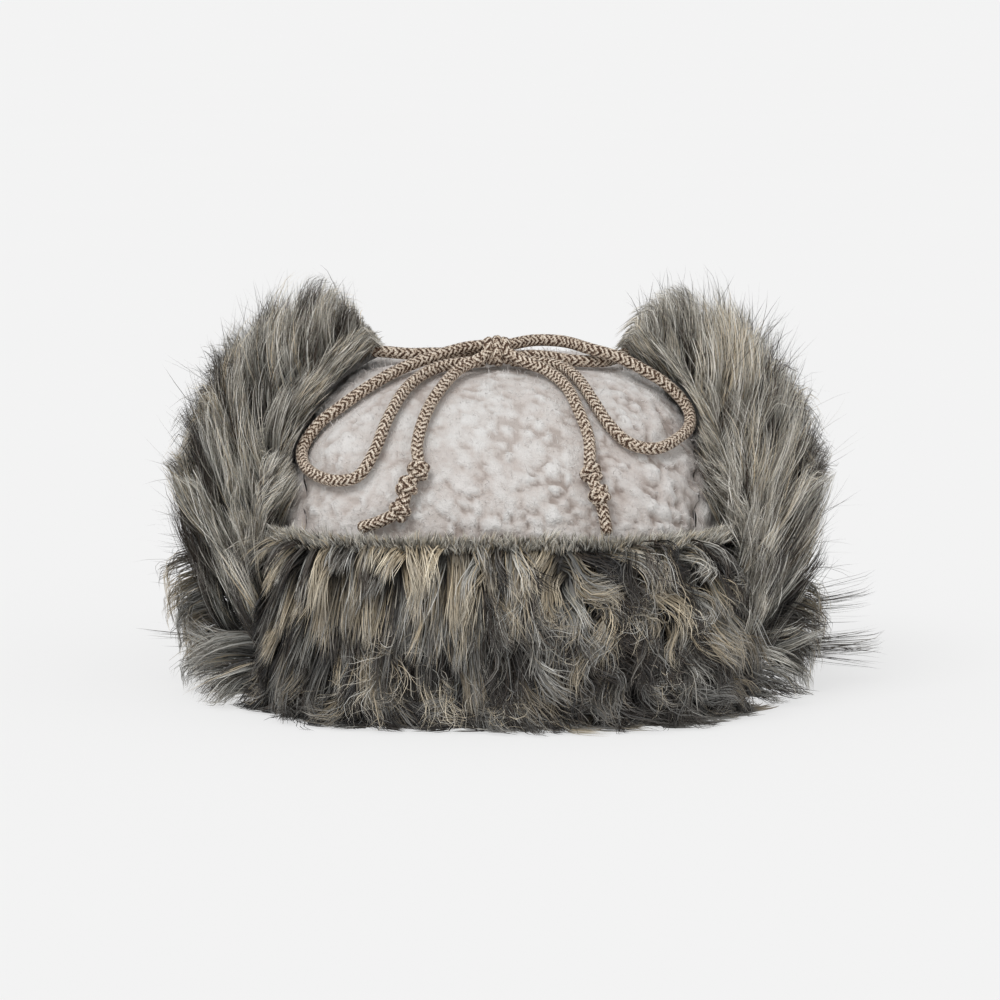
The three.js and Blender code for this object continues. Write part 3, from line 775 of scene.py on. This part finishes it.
def under_cord(path):
    """Hairs that would lie over a loop of the bow end beside it, pressed down; none starts in it."""
    count, steps, _ = path.shape
    points = np.zeros((count, 2 * steps - 1, 3))
    points[:, ::2] = path
    points[:, 1::2] = (path[:, 1:] + path[:, :-1]) / 2
    seen, far = seen_at(points)
    hit = np.zeros(points.shape[:2], bool)
    for name in ("bow_loop_left", "bow_loop_right"):
        cord_seen, cord_far = seen_at(cords[name][1][::4])
        low, high = cord_seen.min(0) - 5, cord_seen.max(0) + 5
        rows, columns = np.nonzero(((seen > low) & (seen < high)).all(-1))
        for start in range(0, len(rows), 20000):
            r, c = rows[start:start + 20000], columns[start:start + 20000]
            gap = np.linalg.norm(seen[r, c][:, None] - cord_seen[None], axis=-1)
            near = gap.argmin(axis=1)
            hit[r, c] |= (gap.min(axis=1) < 3.8) & (far[r, c] < cord_far[near] + 3)
    met = hit.any(axis=1)
    end = np.where(met, hit.argmax(axis=1) / 2 - 0.4, steps - 1)
    place = np.clip(end, 0, None)[:, None] * np.linspace(0, 1, steps)[None]
    before = np.minimum(place.astype(int), steps - 2)
    part = (place - before)[..., None]
    rows = np.arange(count)[:, None]
    return path[rows, before] * (1 - part) + path[rows, before + 1] * part, end > 0.6


def grow_fur(node, part, seed, count, locks, tufts, sample, comb, steps=6, seat=(4.0, 4.0), swell=None,
             slack=0.3):
    """Pile in locks. sample(rng, n) gives roots as bearing and v; comb(bearing, v, frames, rng) gives
    each lock's first and last heading, length, wave, dye and lightness, the lightness being painted light
    and shade in places. seat is how far the roots lie off the crown, swell(bearing, v) what the padding
    adds to it."""
    rng = np.random.default_rng(seed)
    ear = node != "front_flap"
    count = int(count * SHARE)
    lb, lv = sample(rng, locks)
    lock_frames = flap_frame(lb, lv, 4.0, ear)
    lp = lock_frames[0]
    guide = comb(lb, lv, lock_frames, rng)
    tb, tv = sample(rng, tufts)
    tp = flap_surface(tb, tv, 4.0, ear)
    rb, rv = sample(rng, count)
    rp, ro, _, _ = flap_frame(rb, rv, 4.0, ear)
    deep = rng.uniform(seat[0], seat[1], count) - 4.0
    if swell:
        deep = deep + swell(np.abs(rb), rv)
    rp = rp + ro * deep[:, None]
    to_tuft = nearest(rp, tp)
    tuft_lock = nearest(tp, lp)
    to_lock = tuft_lock[to_tuft]

    def of_lock(key):
        return guide[key][to_lock][:, None]

    t = np.linspace(0, 1, steps) ** 0.9
    mess = guide["mess"][tuft_lock][:, None]
    first = unit(guide["first"][tuft_lock] + 0.6 * mess * rng.normal(size=tp.shape))
    last = unit(guide["last"][tuft_lock] + mess * rng.normal(size=tp.shape))
    tall = guide["long"][tuft_lock] * (0.82 + 0.3 * rng.random(len(tp)))
    wave = guide["wave"][tuft_lock] * (0.7 + 0.6 * rng.random(len(tp)))
    swing = guide["swing"][tuft_lock] + guide["loose"][tuft_lock] * rng.uniform(-PI, PI, len(tp))

    length = tall[to_tuft] * (0.62 + 0.4 * rng.beta(2.2, 1.4, count))
    d0 = unit(first[to_tuft] + 0.07 * rng.normal(size=rp.shape))
    d1 = unit(last[to_tuft] + of_lock("stray") * rng.normal(size=rp.shape))
    fall = -(0.4 * d0[:, 2] + 0.6 * d1[:, 2])
    room = np.where(fall > 0.15, (rp[:, 2] + 6 * rng.random(count)) / np.maximum(fall, 0.15), 400)
    length = np.minimum(length, np.maximum(room, 8))
    mid = ((t[1:] + t[:-1]) / 2)[None, :, None]
    heading = unit(d0[:, None] * (1 - mid) + d1[:, None] * mid)
    curl = 2 * PI * mid[..., 0] * of_lock("curls")
    angle = wave[to_tuft][:, None] * np.sin(swing[to_tuft][:, None] + curl) * (0.35 + 0.65 * mid[..., 0])
    side = np.cross(np.broadcast_to(ro[:, None], heading.shape), heading)
    heading = unit(heading * np.cos(angle)[..., None] + side * np.sin(angle)[..., None])
    rest = heading * (length[:, None] * np.diff(t)[None])[..., None]
    path = rp[:, None] + np.concatenate([np.zeros((count, 1, 3)), np.cumsum(rest, axis=1)], 1)

    pull_lock = of_lock("clump")[..., None] * (t ** 1.4)[None, :, None]
    pull_tuft = of_lock("tight")[..., None] * (t ** 0.9)[None, :, None]
    offset_tuft = rp - tp[to_tuft]
    offset_lock = tp[to_tuft] - lp[to_lock]
    offset_tuft = offset_tuft - ro * (offset_tuft * ro).sum(-1, keepdims=True)
    offset_lock = offset_lock - ro * (offset_lock * ro).sum(-1, keepdims=True)
    path = path - offset_tuft[:, None] * pull_tuft - offset_lock[:, None] * pull_lock

    # the pile is pressed back toward the flap where it stands off too far
    excess, r = plan_excess(path)
    height = path[..., 2]
    reach = of_lock("reach") - of_lock("tuck") * (1 - ease(height, 0, 38))
    over = np.clip(excess - reach, 0, None)
    path = path * np.stack([1 - 0.75 * over / r, 1 - 0.75 * over / r, np.ones_like(r)], -1)

    if ear:
        ragged = 3.5 * rng.normal(size=locks)[to_lock] + 2.5 * rng.normal(size=tufts)[to_tuft] - 1.0
        path = within_outline(path, slack, ragged)

    # hairs that reach the floor lie along it, and none enters the crown
    path[..., 2] = np.maximum(path[..., 2], 0.8 + 1.6 * rng.random(count)[:, None])
    x, y, z = path[..., 0], path[..., 1], path[..., 2]
    inside = (np.abs(x) / (CA + 3)) ** NX + (np.abs(y) / (CB + 3)) ** NY + (z / (CH + 3)) ** NZ
    grow = np.clip(inside, 0.02, None) ** (-1 / 2.9)
    path = np.where((inside < 1)[..., None], path * grow[..., None], path)

    # Random tone for each hair, lock and tuft, plus each lock's light, which the combs use for painted light
    # and shade in places.
    shade = np.clip(0.5 + guide["light"][to_lock] + 0.20 * rng.normal(size=count)
                    + 0.10 * rng.normal(size=locks)[to_lock]
                    + 0.14 * rng.normal(size=tufts)[to_tuft], 0, 1)
    # Painted shade: each hair darkens as it nears the floor, by an amount set for each lock.
    shade = shade[:, None] - of_lock("sink") * (1 - ease(path[..., 2], 6, 48))
    family = guide["family"][to_lock] + guide["mottle"][to_lock] * rng.normal(size=tufts)[to_tuft]
    family = np.clip(family + 0.09 * rng.normal(size=count), 0, 1)
    thin = 0.65 + 0.6 * rng.random(count)
    widths = of_lock("wide") * thin[:, None] * np.clip(1.0 - 0.78 * t ** 1.6, 0.1, 1)[None]
    along = t[None] + 0.07 * rng.normal(size=(count, 1)) + of_lock("pale_root")
    along = np.clip(along, 0, 1)
    normal = unit(ro + 0.5 * rng.normal(size=ro.shape))
    kept = np.ones(count, bool)
    if ear:
        path, kept = under_cord(path)
    values = {"along": along[kept], "family": family[kept], "shade": shade[kept]}
    piece = ribbons(f"{node}_fur_{part}", path[kept], widths[kept], normal[kept], values, fur_stuff)
    dress(piece, node)


HABITS = {"mess": 0.12, "wave": 0.12, "swing": 0.0, "loose": 1.0, "curls": 0.8, "clump": 0.4, "tight": 0.85,
          "stray": 0.10, "family": 0.45, "mottle": 0.14, "reach": 26.0, "tuck": 8.0, "wide": 0.46,
          "pale_root": 0.0, "light": 0.0, "sink": 0.0}


def pile(n, first, last, long, **changes):
    """The habits of n locks: first and last heading, length, and what a comb changes of the rest."""
    habits = {key: np.broadcast_to(np.asarray(value, float), (n,))
              for key, value in {**HABITS, "long": long, **changes}.items()}
    return {"first": first, "last": last, **habits}


def front_dye(b, v, rng):
    """Cream and tan streaks above, with brown patches near the rim; charcoal below with paler tips."""
    n = len(b)
    low = 1 - ease(v, 0.5, 0.92)
    middle = np.exp(-((b + 2) / 22) ** 2)
    patch = np.array([noise.noise(Vector((q / 9.0, w * 5.0, 3.0))) for q, w in zip(b, v)])
    family = blend(0.23 + 0.05 * middle, 0.46, low) + 0.15 * rng.normal(size=n) - 0.25 * patch
    chance = blend(0.27 + 0.15 * middle, 0.60, low) + 0.25 * ease(v, 0.8, 0.95) * (patch > 0.05)
    dark = rng.random(n) < chance
    return np.clip(np.where(dark, 0.80 + 0.10 * rng.normal(size=n), family), 0, 1)


def spread(hand, low, high, foot, top, crowd=1.0, sag=1.0):
    """Roots over bearings and heights: crowd above 1 draws them to low, sag above 1 to the foot."""
    def sample(rng, n):
        return hand * blend(low, high, rng.random(n) ** crowd), rng.uniform(foot, top, n) ** sag
    return sample


def straight_comb(b, v, frames, rng):
    """Streaks that hang down, fan out at the seam and curl along the floor."""
    n = len(b)
    fan = -(0.35 + 0.4 * (1 - ease(v, 0.3, 0.7))) * ease(-b, 34, 50)
    low = 1 - ease(v, 0.15, 0.6)
    swirl = low * rng.choice([-1.0, 1.0, 1.0], n) * rng.uniform(0.3, 1.7, n)
    top = ease(v, 0.86, 0.97)
    first = toward(frames, out=0.55 + 0.1 * rng.normal(size=n), along=-0.85 + 0.8 * top, across=0.3 * fan)
    last = toward(frames, out=0.0 + 0.12 * rng.normal(size=n), along=-1.0 + 0.6 * low,
                  across=fan + 0.10 * rng.normal(size=n) + swirl)
    return pile(
        n, first, last, 19 + 16 * rng.random(n) ** 1.4 - 2 * low, mess=0.09 + 0.16 * low,
        wave=0.10 + 1.2 * low * rng.random(n), swing=rng.uniform(-PI, PI, n), loose=0.35,
        curls=0.6 + 0.6 * rng.random(n), clump=0.30 + 0.45 * rng.random(n), family=front_dye(b, v, rng),
        # light: random tone plus painted shade that deepens toward the foot of the flap; hairs also take
        # painted shade near the floor.
        reach=26.0, tuck=1.0, pale_root=0.26 * top, light=-0.12 - 0.10 * low + 0.10 * rng.normal(size=n),
        sink=0.36)


def curly_comb(b, v, frames, rng):
    """Tousled locks that curl down and to the right."""
    n = len(b)
    low = 1 - ease(v, 0.15, 0.6)
    fan = 0.6 * ease(b, 36, 50)
    top = ease(v, 0.86, 0.97)
    first = toward(frames, out=0.60, along=-0.6 + 0.6 * top, across=0.35 * rng.normal(size=n))
    last = toward(frames, out=0.08 + 0.15 * rng.normal(size=n), along=-1.0 + 0.6 * low,
                  across=0.35 + fan + 0.45 * rng.normal(size=n) + 0.7 * low)
    curl = 0.35 + 0.65 * ease(b, 0, 14)
    return pile(
        n, first, last, 24 + 14 * rng.random(n) - 3 * low, mess=0.14, wave=curl * rng.uniform(0.6, 1.5, n),
        swing=rng.uniform(-PI, PI, n), loose=0.12, curls=0.7 + 0.5 * rng.random(n),
        clump=0.55 + 0.3 * rng.random(n), family=front_dye(b, v, rng), mottle=0.10, reach=27.0, tuck=1.0,
        # light: random tone plus painted shade that deepens toward the foot of the flap; hairs also take
        # painted shade near the floor.
        pale_root=0.26 * top, stray=0.12, wide=0.50, light=-0.04 - 0.18 * low + 0.10 * rng.normal(size=n),
        sink=0.34)


FRIZZ = ((-26, 0.31), (-12, 0.27), (1, 0.20), (17, 0.66), (27, 0.72), (-22, 0.46), (34, 0.40))


def frizz_sample(rng, n):
    spots = np.array(FRIZZ)[rng.integers(0, len(FRIZZ), n)]
    bearing = spots[:, 0] + 2.4 * rng.normal(size=n)
    return bearing, np.clip(spots[:, 1] + 0.06 * rng.normal(size=n), 0.05, 0.98)


def frizz_comb(b, v, frames, rng):
    """Wiry pale tufts that stand out of the front pile."""
    n = len(b)
    first = toward(frames, out=0.8, along=-0.5, across=0.3 * rng.normal(size=n))
    last = toward(frames, out=0.3 + 0.4 * rng.normal(size=n), along=-0.6 + 0.6 * rng.normal(size=n),
                  across=0.8 * rng.normal(size=n))
    return pile(
        n, first, last, 25 + 8 * rng.random(n), mess=0.35, wave=1.0, curls=1.1,
        swing=rng.uniform(-PI, PI, n), clump=0.1, tight=0.3, stray=0.35, family=0.30,
        reach=30.0, tuck=4.0, wide=0.24, pale_root=0.3, light=0.2)


def rim_sample(low, high, depth):
    def sample(rng, n):
        return low + (high - low) * rng.random(n), 1 - depth * rng.random(n) ** 1.4
    return sample


def front_rim_comb(b, v, frames, rng):
    """Short grey plush that stands along the upper rim."""
    n = len(b)
    first = toward(frames, out=0.8, rise=0.5)
    last = toward(frames, out=0.5 + 0.25 * rng.normal(size=n), rise=0.5, across=0.30 * rng.normal(size=n))
    return pile(
        n, first, last, 5.5 + 3.5 * rng.random(n), mess=0.15, clump=0.05, tight=0.35, stray=0.16,
        family=0.49 + 0.05 * rng.normal(size=n), mottle=0.05, wide=0.44, pale_root=0.40,
        light=0.45 + 0.35 * ease(b, 10, 45))


def side_comb(hand):
    """Long pile: down at the foot, up and outward at the side, up and over the crown at the front edge."""
    def comb(b, v, frames, rng):
        n = len(b)
        b = np.abs(b)
        foot = 1 - ease(v, 0.10, 0.34)
        inner = 1 - ease(b, 55, 70)
        crest = ease(v, 0.5, 0.85) * (1 - ease(b, 84, 100))
        down = rng.random(n) < foot
        sweep = blend(-0.05, 0.40, inner * ease(v, 0.45, 0.75)) + 0.60 * crest
        first = toward(frames, out=0.75, rise=0.7, inward=0.2 * inner)
        last = toward(frames, out=0.12, rise=1.0 - 0.15 * crest, inward=sweep + 0.14 * rng.normal(size=n),
                      away=0.10 * rng.normal(size=n))
        fan = hand * 0.7 * (1 - ease(b, 56, 74))
        level = rng.random(n)
        down_first = toward(frames, out=0.9, rise=-0.1, across=0.5 * fan)
        down_last = toward(frames, out=0.25 + 0.25 * level, rise=-0.95 + 0.45 * level,
                           across=fan + 0.3 * rng.normal(size=n))
        first = np.where(down[:, None], down_first, first)
        last = np.where(down[:, None], down_last, last)
        edge = ease(v, 0.84, 0.96)
        long = 40 + 14 * rng.random(n) - 12 * foot - 9 * inner * (1 - foot) - 20 * edge
        streak = np.exp(-((b - 80) / 7) ** 2) * (1 - ease(v, 0.6, 0.9))
        pale = 1 - ease(b, 60, 78)
        # silver marks the pale silver pile inside and on the crest; the factor 0.78 + 0.22 * hand weakens it
        # on the left ear, so the right ear's inner side is paler: painted light, as from the key on the
        # left.
        silver = (0.78 + 0.22 * hand) * np.maximum(pale * ease(v, 0.12, 0.40), crest)
        family = np.maximum(0.50 - 0.22 * streak + 0.08 * rng.normal(size=n), 0.45 - 0.22 * streak)
        dark = rng.random(n) < blend(0.42, 0.10, silver)
        family = np.where(dark, 0.76 + 0.10 * rng.normal(size=n), family)
        # Random tone plus the silver pile's paleness, with painted light on the right ear's inner side.
        silver_tone_and_painted_light = np.where(dark, 0.2, 1.05) * silver + 0.12 + 0.08 * rng.normal(size=n)
        return pile(
            n, first, last, long, mess=0.10,
            wave=(0.15 + 0.5 * rng.random(n)) * (1 + 1.2 * pale * ease(v, 0.3, 0.6)),
            swing=rng.uniform(-PI, PI, n), loose=0.25, curls=0.4 + 0.4 * rng.random(n),
            clump=0.45 + 0.35 * rng.random(n), family=np.clip(family, 0, 1), mottle=0.07, reach=42.0,
            tuck=3.0, pale_root=0.46 * silver, stray=0.09, light=silver_tone_and_painted_light, sink=0.12)
    return comb


def side_swell(b, v):
    """The padding under the side pile, thickest halfway up the side."""
    plump = 0.6 + 0.4 * ease(v, 0.0, 0.3)
    return 15.0 * plump * ease(b, 53, 74) * (1 - ease(b, 98, 126)) * (1 - ease(v, 0.62, 0.95))


def back_comb(b, v, frames, rng):
    """Pile of the neck flap, up and out, with its foot turned down."""
    n = len(b)
    foot = 1 - ease(v, 0.16, 0.36)
    down = rng.random(n) < foot
    first = toward(frames, out=0.62, rise=0.8)
    last = toward(frames, out=0.15, rise=1.0, across=0.14 * rng.normal(size=n))
    down_first = toward(frames, out=0.8, rise=-0.35)
    down_last = toward(frames, out=0.25, rise=-0.9, across=0.4 * rng.normal(size=n))
    dark = rng.random(n) < 0.3
    first = np.where(down[:, None], down_first, first)
    last = np.where(down[:, None], down_last, last)
    return pile(
        n, first, last, 34 + 10 * rng.random(n) - 4 * foot - 14 * ease(v, 0.8, 1.0), mess=0.11,
        wave=0.15 + 0.4 * rng.random(n), swing=rng.uniform(-PI, PI, n), loose=0.3,
        family=np.clip(np.where(dark, 0.82, 0.42 + 0.16 * rng.normal(size=n)), 0, 1), reach=29.0, tuck=7.0,
        wide=0.70)


def edge_comb(b, v, frames, rng):
    """Dense silver plush that closes a flap's upper edge and lies toward the crown at the front."""
    n = len(b)
    b = np.abs(b)
    inner = 1 - ease(b, 60, 80)
    first = toward(frames, out=0.35, along=0.5, rise=0.5, inward=0.45 * inner)
    last = toward(frames, out=0.1 * rng.normal(size=n), along=0.35 * (1 - inner), rise=0.75,
                  inward=0.15 + 0.65 * inner + 0.12 * rng.normal(size=n))
    dark = rng.random(n) < 0.15
    family = np.where(dark, 0.74, np.maximum(0.48 + 0.06 * rng.normal(size=n), 0.44))
    return pile(
        n, first, last, 8 + 4 * rng.random(n) + 13 * inner, mess=0.12, wave=0.25 * inner,
        swing=rng.uniform(-PI, PI, n), loose=0.4, clump=0.25 + 0.3 * inner, tight=0.6,
        family=np.clip(family, 0, 1), mottle=0.09, reach=34.0, pale_root=0.32, stray=0.10,
        light=0.30 + 0.4 * inner)


def guard_comb(b, v, frames, rng):
    """Sparse dark guard hairs that stand above and outside the pile."""
    n = len(b)
    first = toward(frames, out=0.5, rise=0.9)
    last = toward(frames, rise=1.0, away=0.14 + 0.24 * rng.normal(size=n), across=0.2 * rng.normal(size=n),
                  inward=0.3 * ease(v, 0.6, 0.9))
    long = 46 + 14 * rng.random(n) - 16 * ease(v, 0.7, 0.95)
    return pile(
        n, first, last, long, mess=0.14, wave=0.35, swing=rng.uniform(-PI, PI, n), clump=0.1,
        tight=0.4, stray=0.12, family=0.88, mottle=0.05, reach=50.0, tuck=0.0, wide=0.32, pale_root=0.1)


def wisp_sample(spots):
    def sample(rng, n):
        near = np.array(spots)[rng.integers(0, len(spots), n)]
        bearing = near[:, 0] + 0.8 * rng.normal(size=n)
        return bearing, np.clip(near[:, 1] + 0.012 * rng.normal(size=n), 0.03, 1)
    return sample


def wisp_comb(b, v, frames, rng):
    """Long dark wisps that stand out level at the side."""
    n = len(b)
    first = toward(frames, away=1.0, rise=0.05)
    last = toward(frames, away=1.0, rise=0.12 + 0.05 * rng.normal(size=n))
    return pile(
        n, first, last, np.where(frames[0][:, 0] > 0, 62.0, 44.0), mess=0.07, loose=0.3, clump=0.35,
        tight=0.75, stray=0.07, family=0.84, mottle=0.06, reach=300.0, tuck=0.0, wide=0.36, pale_root=0.1)


def flyaway_comb(b, v, frames, rng):
    """Single fine hairs that stray outward."""
    n = len(b)
    first = toward(frames, out=0.8, rise=0.5)
    last = toward(frames, away=1.0, rise=0.5 + 0.5 * rng.normal(size=n), across=0.3 * rng.normal(size=n))
    return pile(
        n, first, last, 40 + 12 * rng.random(n), mess=0.2, wave=0.4, clump=0.0, tight=0.1,
        stray=0.2, family=0.66, mottle=0.1, reach=300.0, tuck=0.0, wide=0.24, pale_root=0.2)


grow_fur("front_flap", "left", 101, 13500, 210, 2100,
         spread(1, -51.6, 4, 0.03, 0.995, sag=1.1), straight_comb)
grow_fur("front_flap", "right", 102, 10000, 190, 1300,
         spread(1, -4, 51.6, 0.03, 0.995, sag=1.1), curly_comb, 8)
grow_fur("front_flap", "frizz", 104, 550, 30, 200, frizz_sample, frizz_comb, 8)
grow_fur("front_flap", "rim", 103, 5500, 500, 1500, rim_sample(-51.6, 51.6, 0.07),
         front_rim_comb, 4, (0.6, 7.0))
for hand, word in ((-1, "left"), (1, "right")):
    node = f"ear_flap_{word}"
    rim = rim_sample(hand * 52.3, hand * 116, 0.06)
    back_rim = rim_sample(hand * 112, hand * 179.8, 0.06)
    spots = [(hand * 97, 0.15), (hand * 84, 0.07)] if hand > 0 else [(hand * 88, 0.30), (hand * 80, 0.10)]
    side = spread(hand, 52.3, 118, 0.03, 0.985, 1.15, 0.85)
    back = spread(hand, 112, 179.8, 0.03, 1.0, sag=0.85)
    sparse = spread(hand, 64, 112, 0.15, 0.97)
    grow_fur(node, "side", 110 + hand, 13500, 260, 2000, side, side_comb(hand), swell=side_swell)
    grow_fur(node, "back", 120 + hand, 5500, 170, 900, back, back_comb)
    grow_fur(node, "edge", 130 + hand, 4600, 420, 1300, rim, edge_comb, 5, (0.6, 9.0))
    grow_fur(node, "back_edge", 140 + hand, 1500, 160, 500, back_rim, edge_comb, 4, (0.6, 6.0))
    grow_fur(node, "guard", 150 + hand, 1100, 300, 600, sparse, guard_comb, swell=side_swell,
             slack=0.75)
    grow_fur(node, "flyaway", 170 + hand, 90, 60, 90, sparse, flyaway_comb, swell=side_swell,
             slack=1.0)
    grow_fur(node, "wisp", 160 + hand, 140 if hand > 0 else 40, 12, 24, wisp_sample(spots),
             wisp_comb, slack=1.0)


def fleece_fuzz(name, node, count, seed):
    """Fine loose fibres that soften the curls of a fleece panel."""
    rng = np.random.default_rng(seed)
    count = int(count * SHARE)
    skin, normals, nub = fleece_skin[name]
    pick = rng.choice(len(skin), count, p=(0.1 + nub) / (0.1 + nub).sum())
    root, up = skin[pick], normals[pick]
    start = unit(up + 0.5 * rng.normal(size=up.shape))
    bend = unit(0.3 * up + rng.normal(size=up.shape))
    t = np.linspace(0, 1, 4)[None, :, None]
    long = rng.uniform(2.2, 4.0, count)[:, None, None]
    path = root[:, None] + long * (start[:, None] * t * (1 - 0.5 * t) + 0.5 * bend[:, None] * t ** 2)
    path[..., 2] = np.maximum(path[..., 2], 0.3)
    widths = 0.34 * np.clip(1 - 0.7 * t[..., 0], 0.1, 1) * np.ones((count, 1))
    values = {"nub": 0.55 + 0.4 * nub[pick]}
    piece = ribbons(f"{name}_fuzz", path, widths, unit(rng.normal(size=up.shape)), values, fleece_stuff)
    dress(piece, node)


fleece_fuzz("crown_centre_fleece", "crown_centre_panel", 6500, 51)
fleece_fuzz("crown_side_left_fleece", "crown_side_left", 900, 52)
fleece_fuzz("crown_side_right_fleece", "crown_side_right", 900, 53)

# Floor, light
floor_nodes = Nodes("studio_floor")
floor_tints = [(0.0, (0.25, 0.25, 0.25)), (1.0, (0.255, 0.255, 0.255))]
floor_color = floor_nodes.ramp(floor_nodes.noise(3, 1), floor_tints)
floor_nodes.finish(floor_color, 1.0, 0.0, 0.0)
floor_nodes.shader.inputs["Emission Color"].default_value = (1.0, 1.0, 1.0, 1.0)
floor_nodes.shader.inputs["Emission Strength"].default_value = 0.665
FLOOR = ((-40000, -9000, -0.2), (40000, -9000, -0.2), (40000, 150000, -0.2), (-40000, 150000, -0.2))
floor = add_mesh("studio_floor", np.array(FLOOR, float), np.array([[0, 1, 2, 3]]), floor_nodes.material)

world = bpy.data.worlds.new("studio")
bpy.context.scene.world = world
world.use_nodes = True
world.node_tree.nodes["Background"].inputs["Color"].default_value = (1.0, 1.0, 1.0, 1)
world.node_tree.nodes["Background"].inputs["Strength"].default_value = 0.52


def sun(name, azimuth, height, strength, angle):
    """A soft sun in the direction azimuth, height; angle is its width in degrees."""
    light = bpy.data.lights.new(name, "SUN")
    light.energy = strength
    light.angle = math.radians(angle)
    obj = bpy.data.objects.new(name, light)
    bpy.context.scene.collection.objects.link(obj)
    a, h = math.radians(azimuth), math.radians(height)
    toward = Vector((-math.sin(a) * math.cos(h), math.cos(a) * math.cos(h), -math.sin(h)))
    obj.rotation_euler = toward.to_track_quat("-Z", "Y").to_euler()


sun("key_soft", -35, 55, 1.36, 36)
sun("fill_right", 50, 40, 0.22, 60)
bpy.context.scene.view_settings.view_transform = "Standard"
bpy.context.scene.view_settings.look = "None"
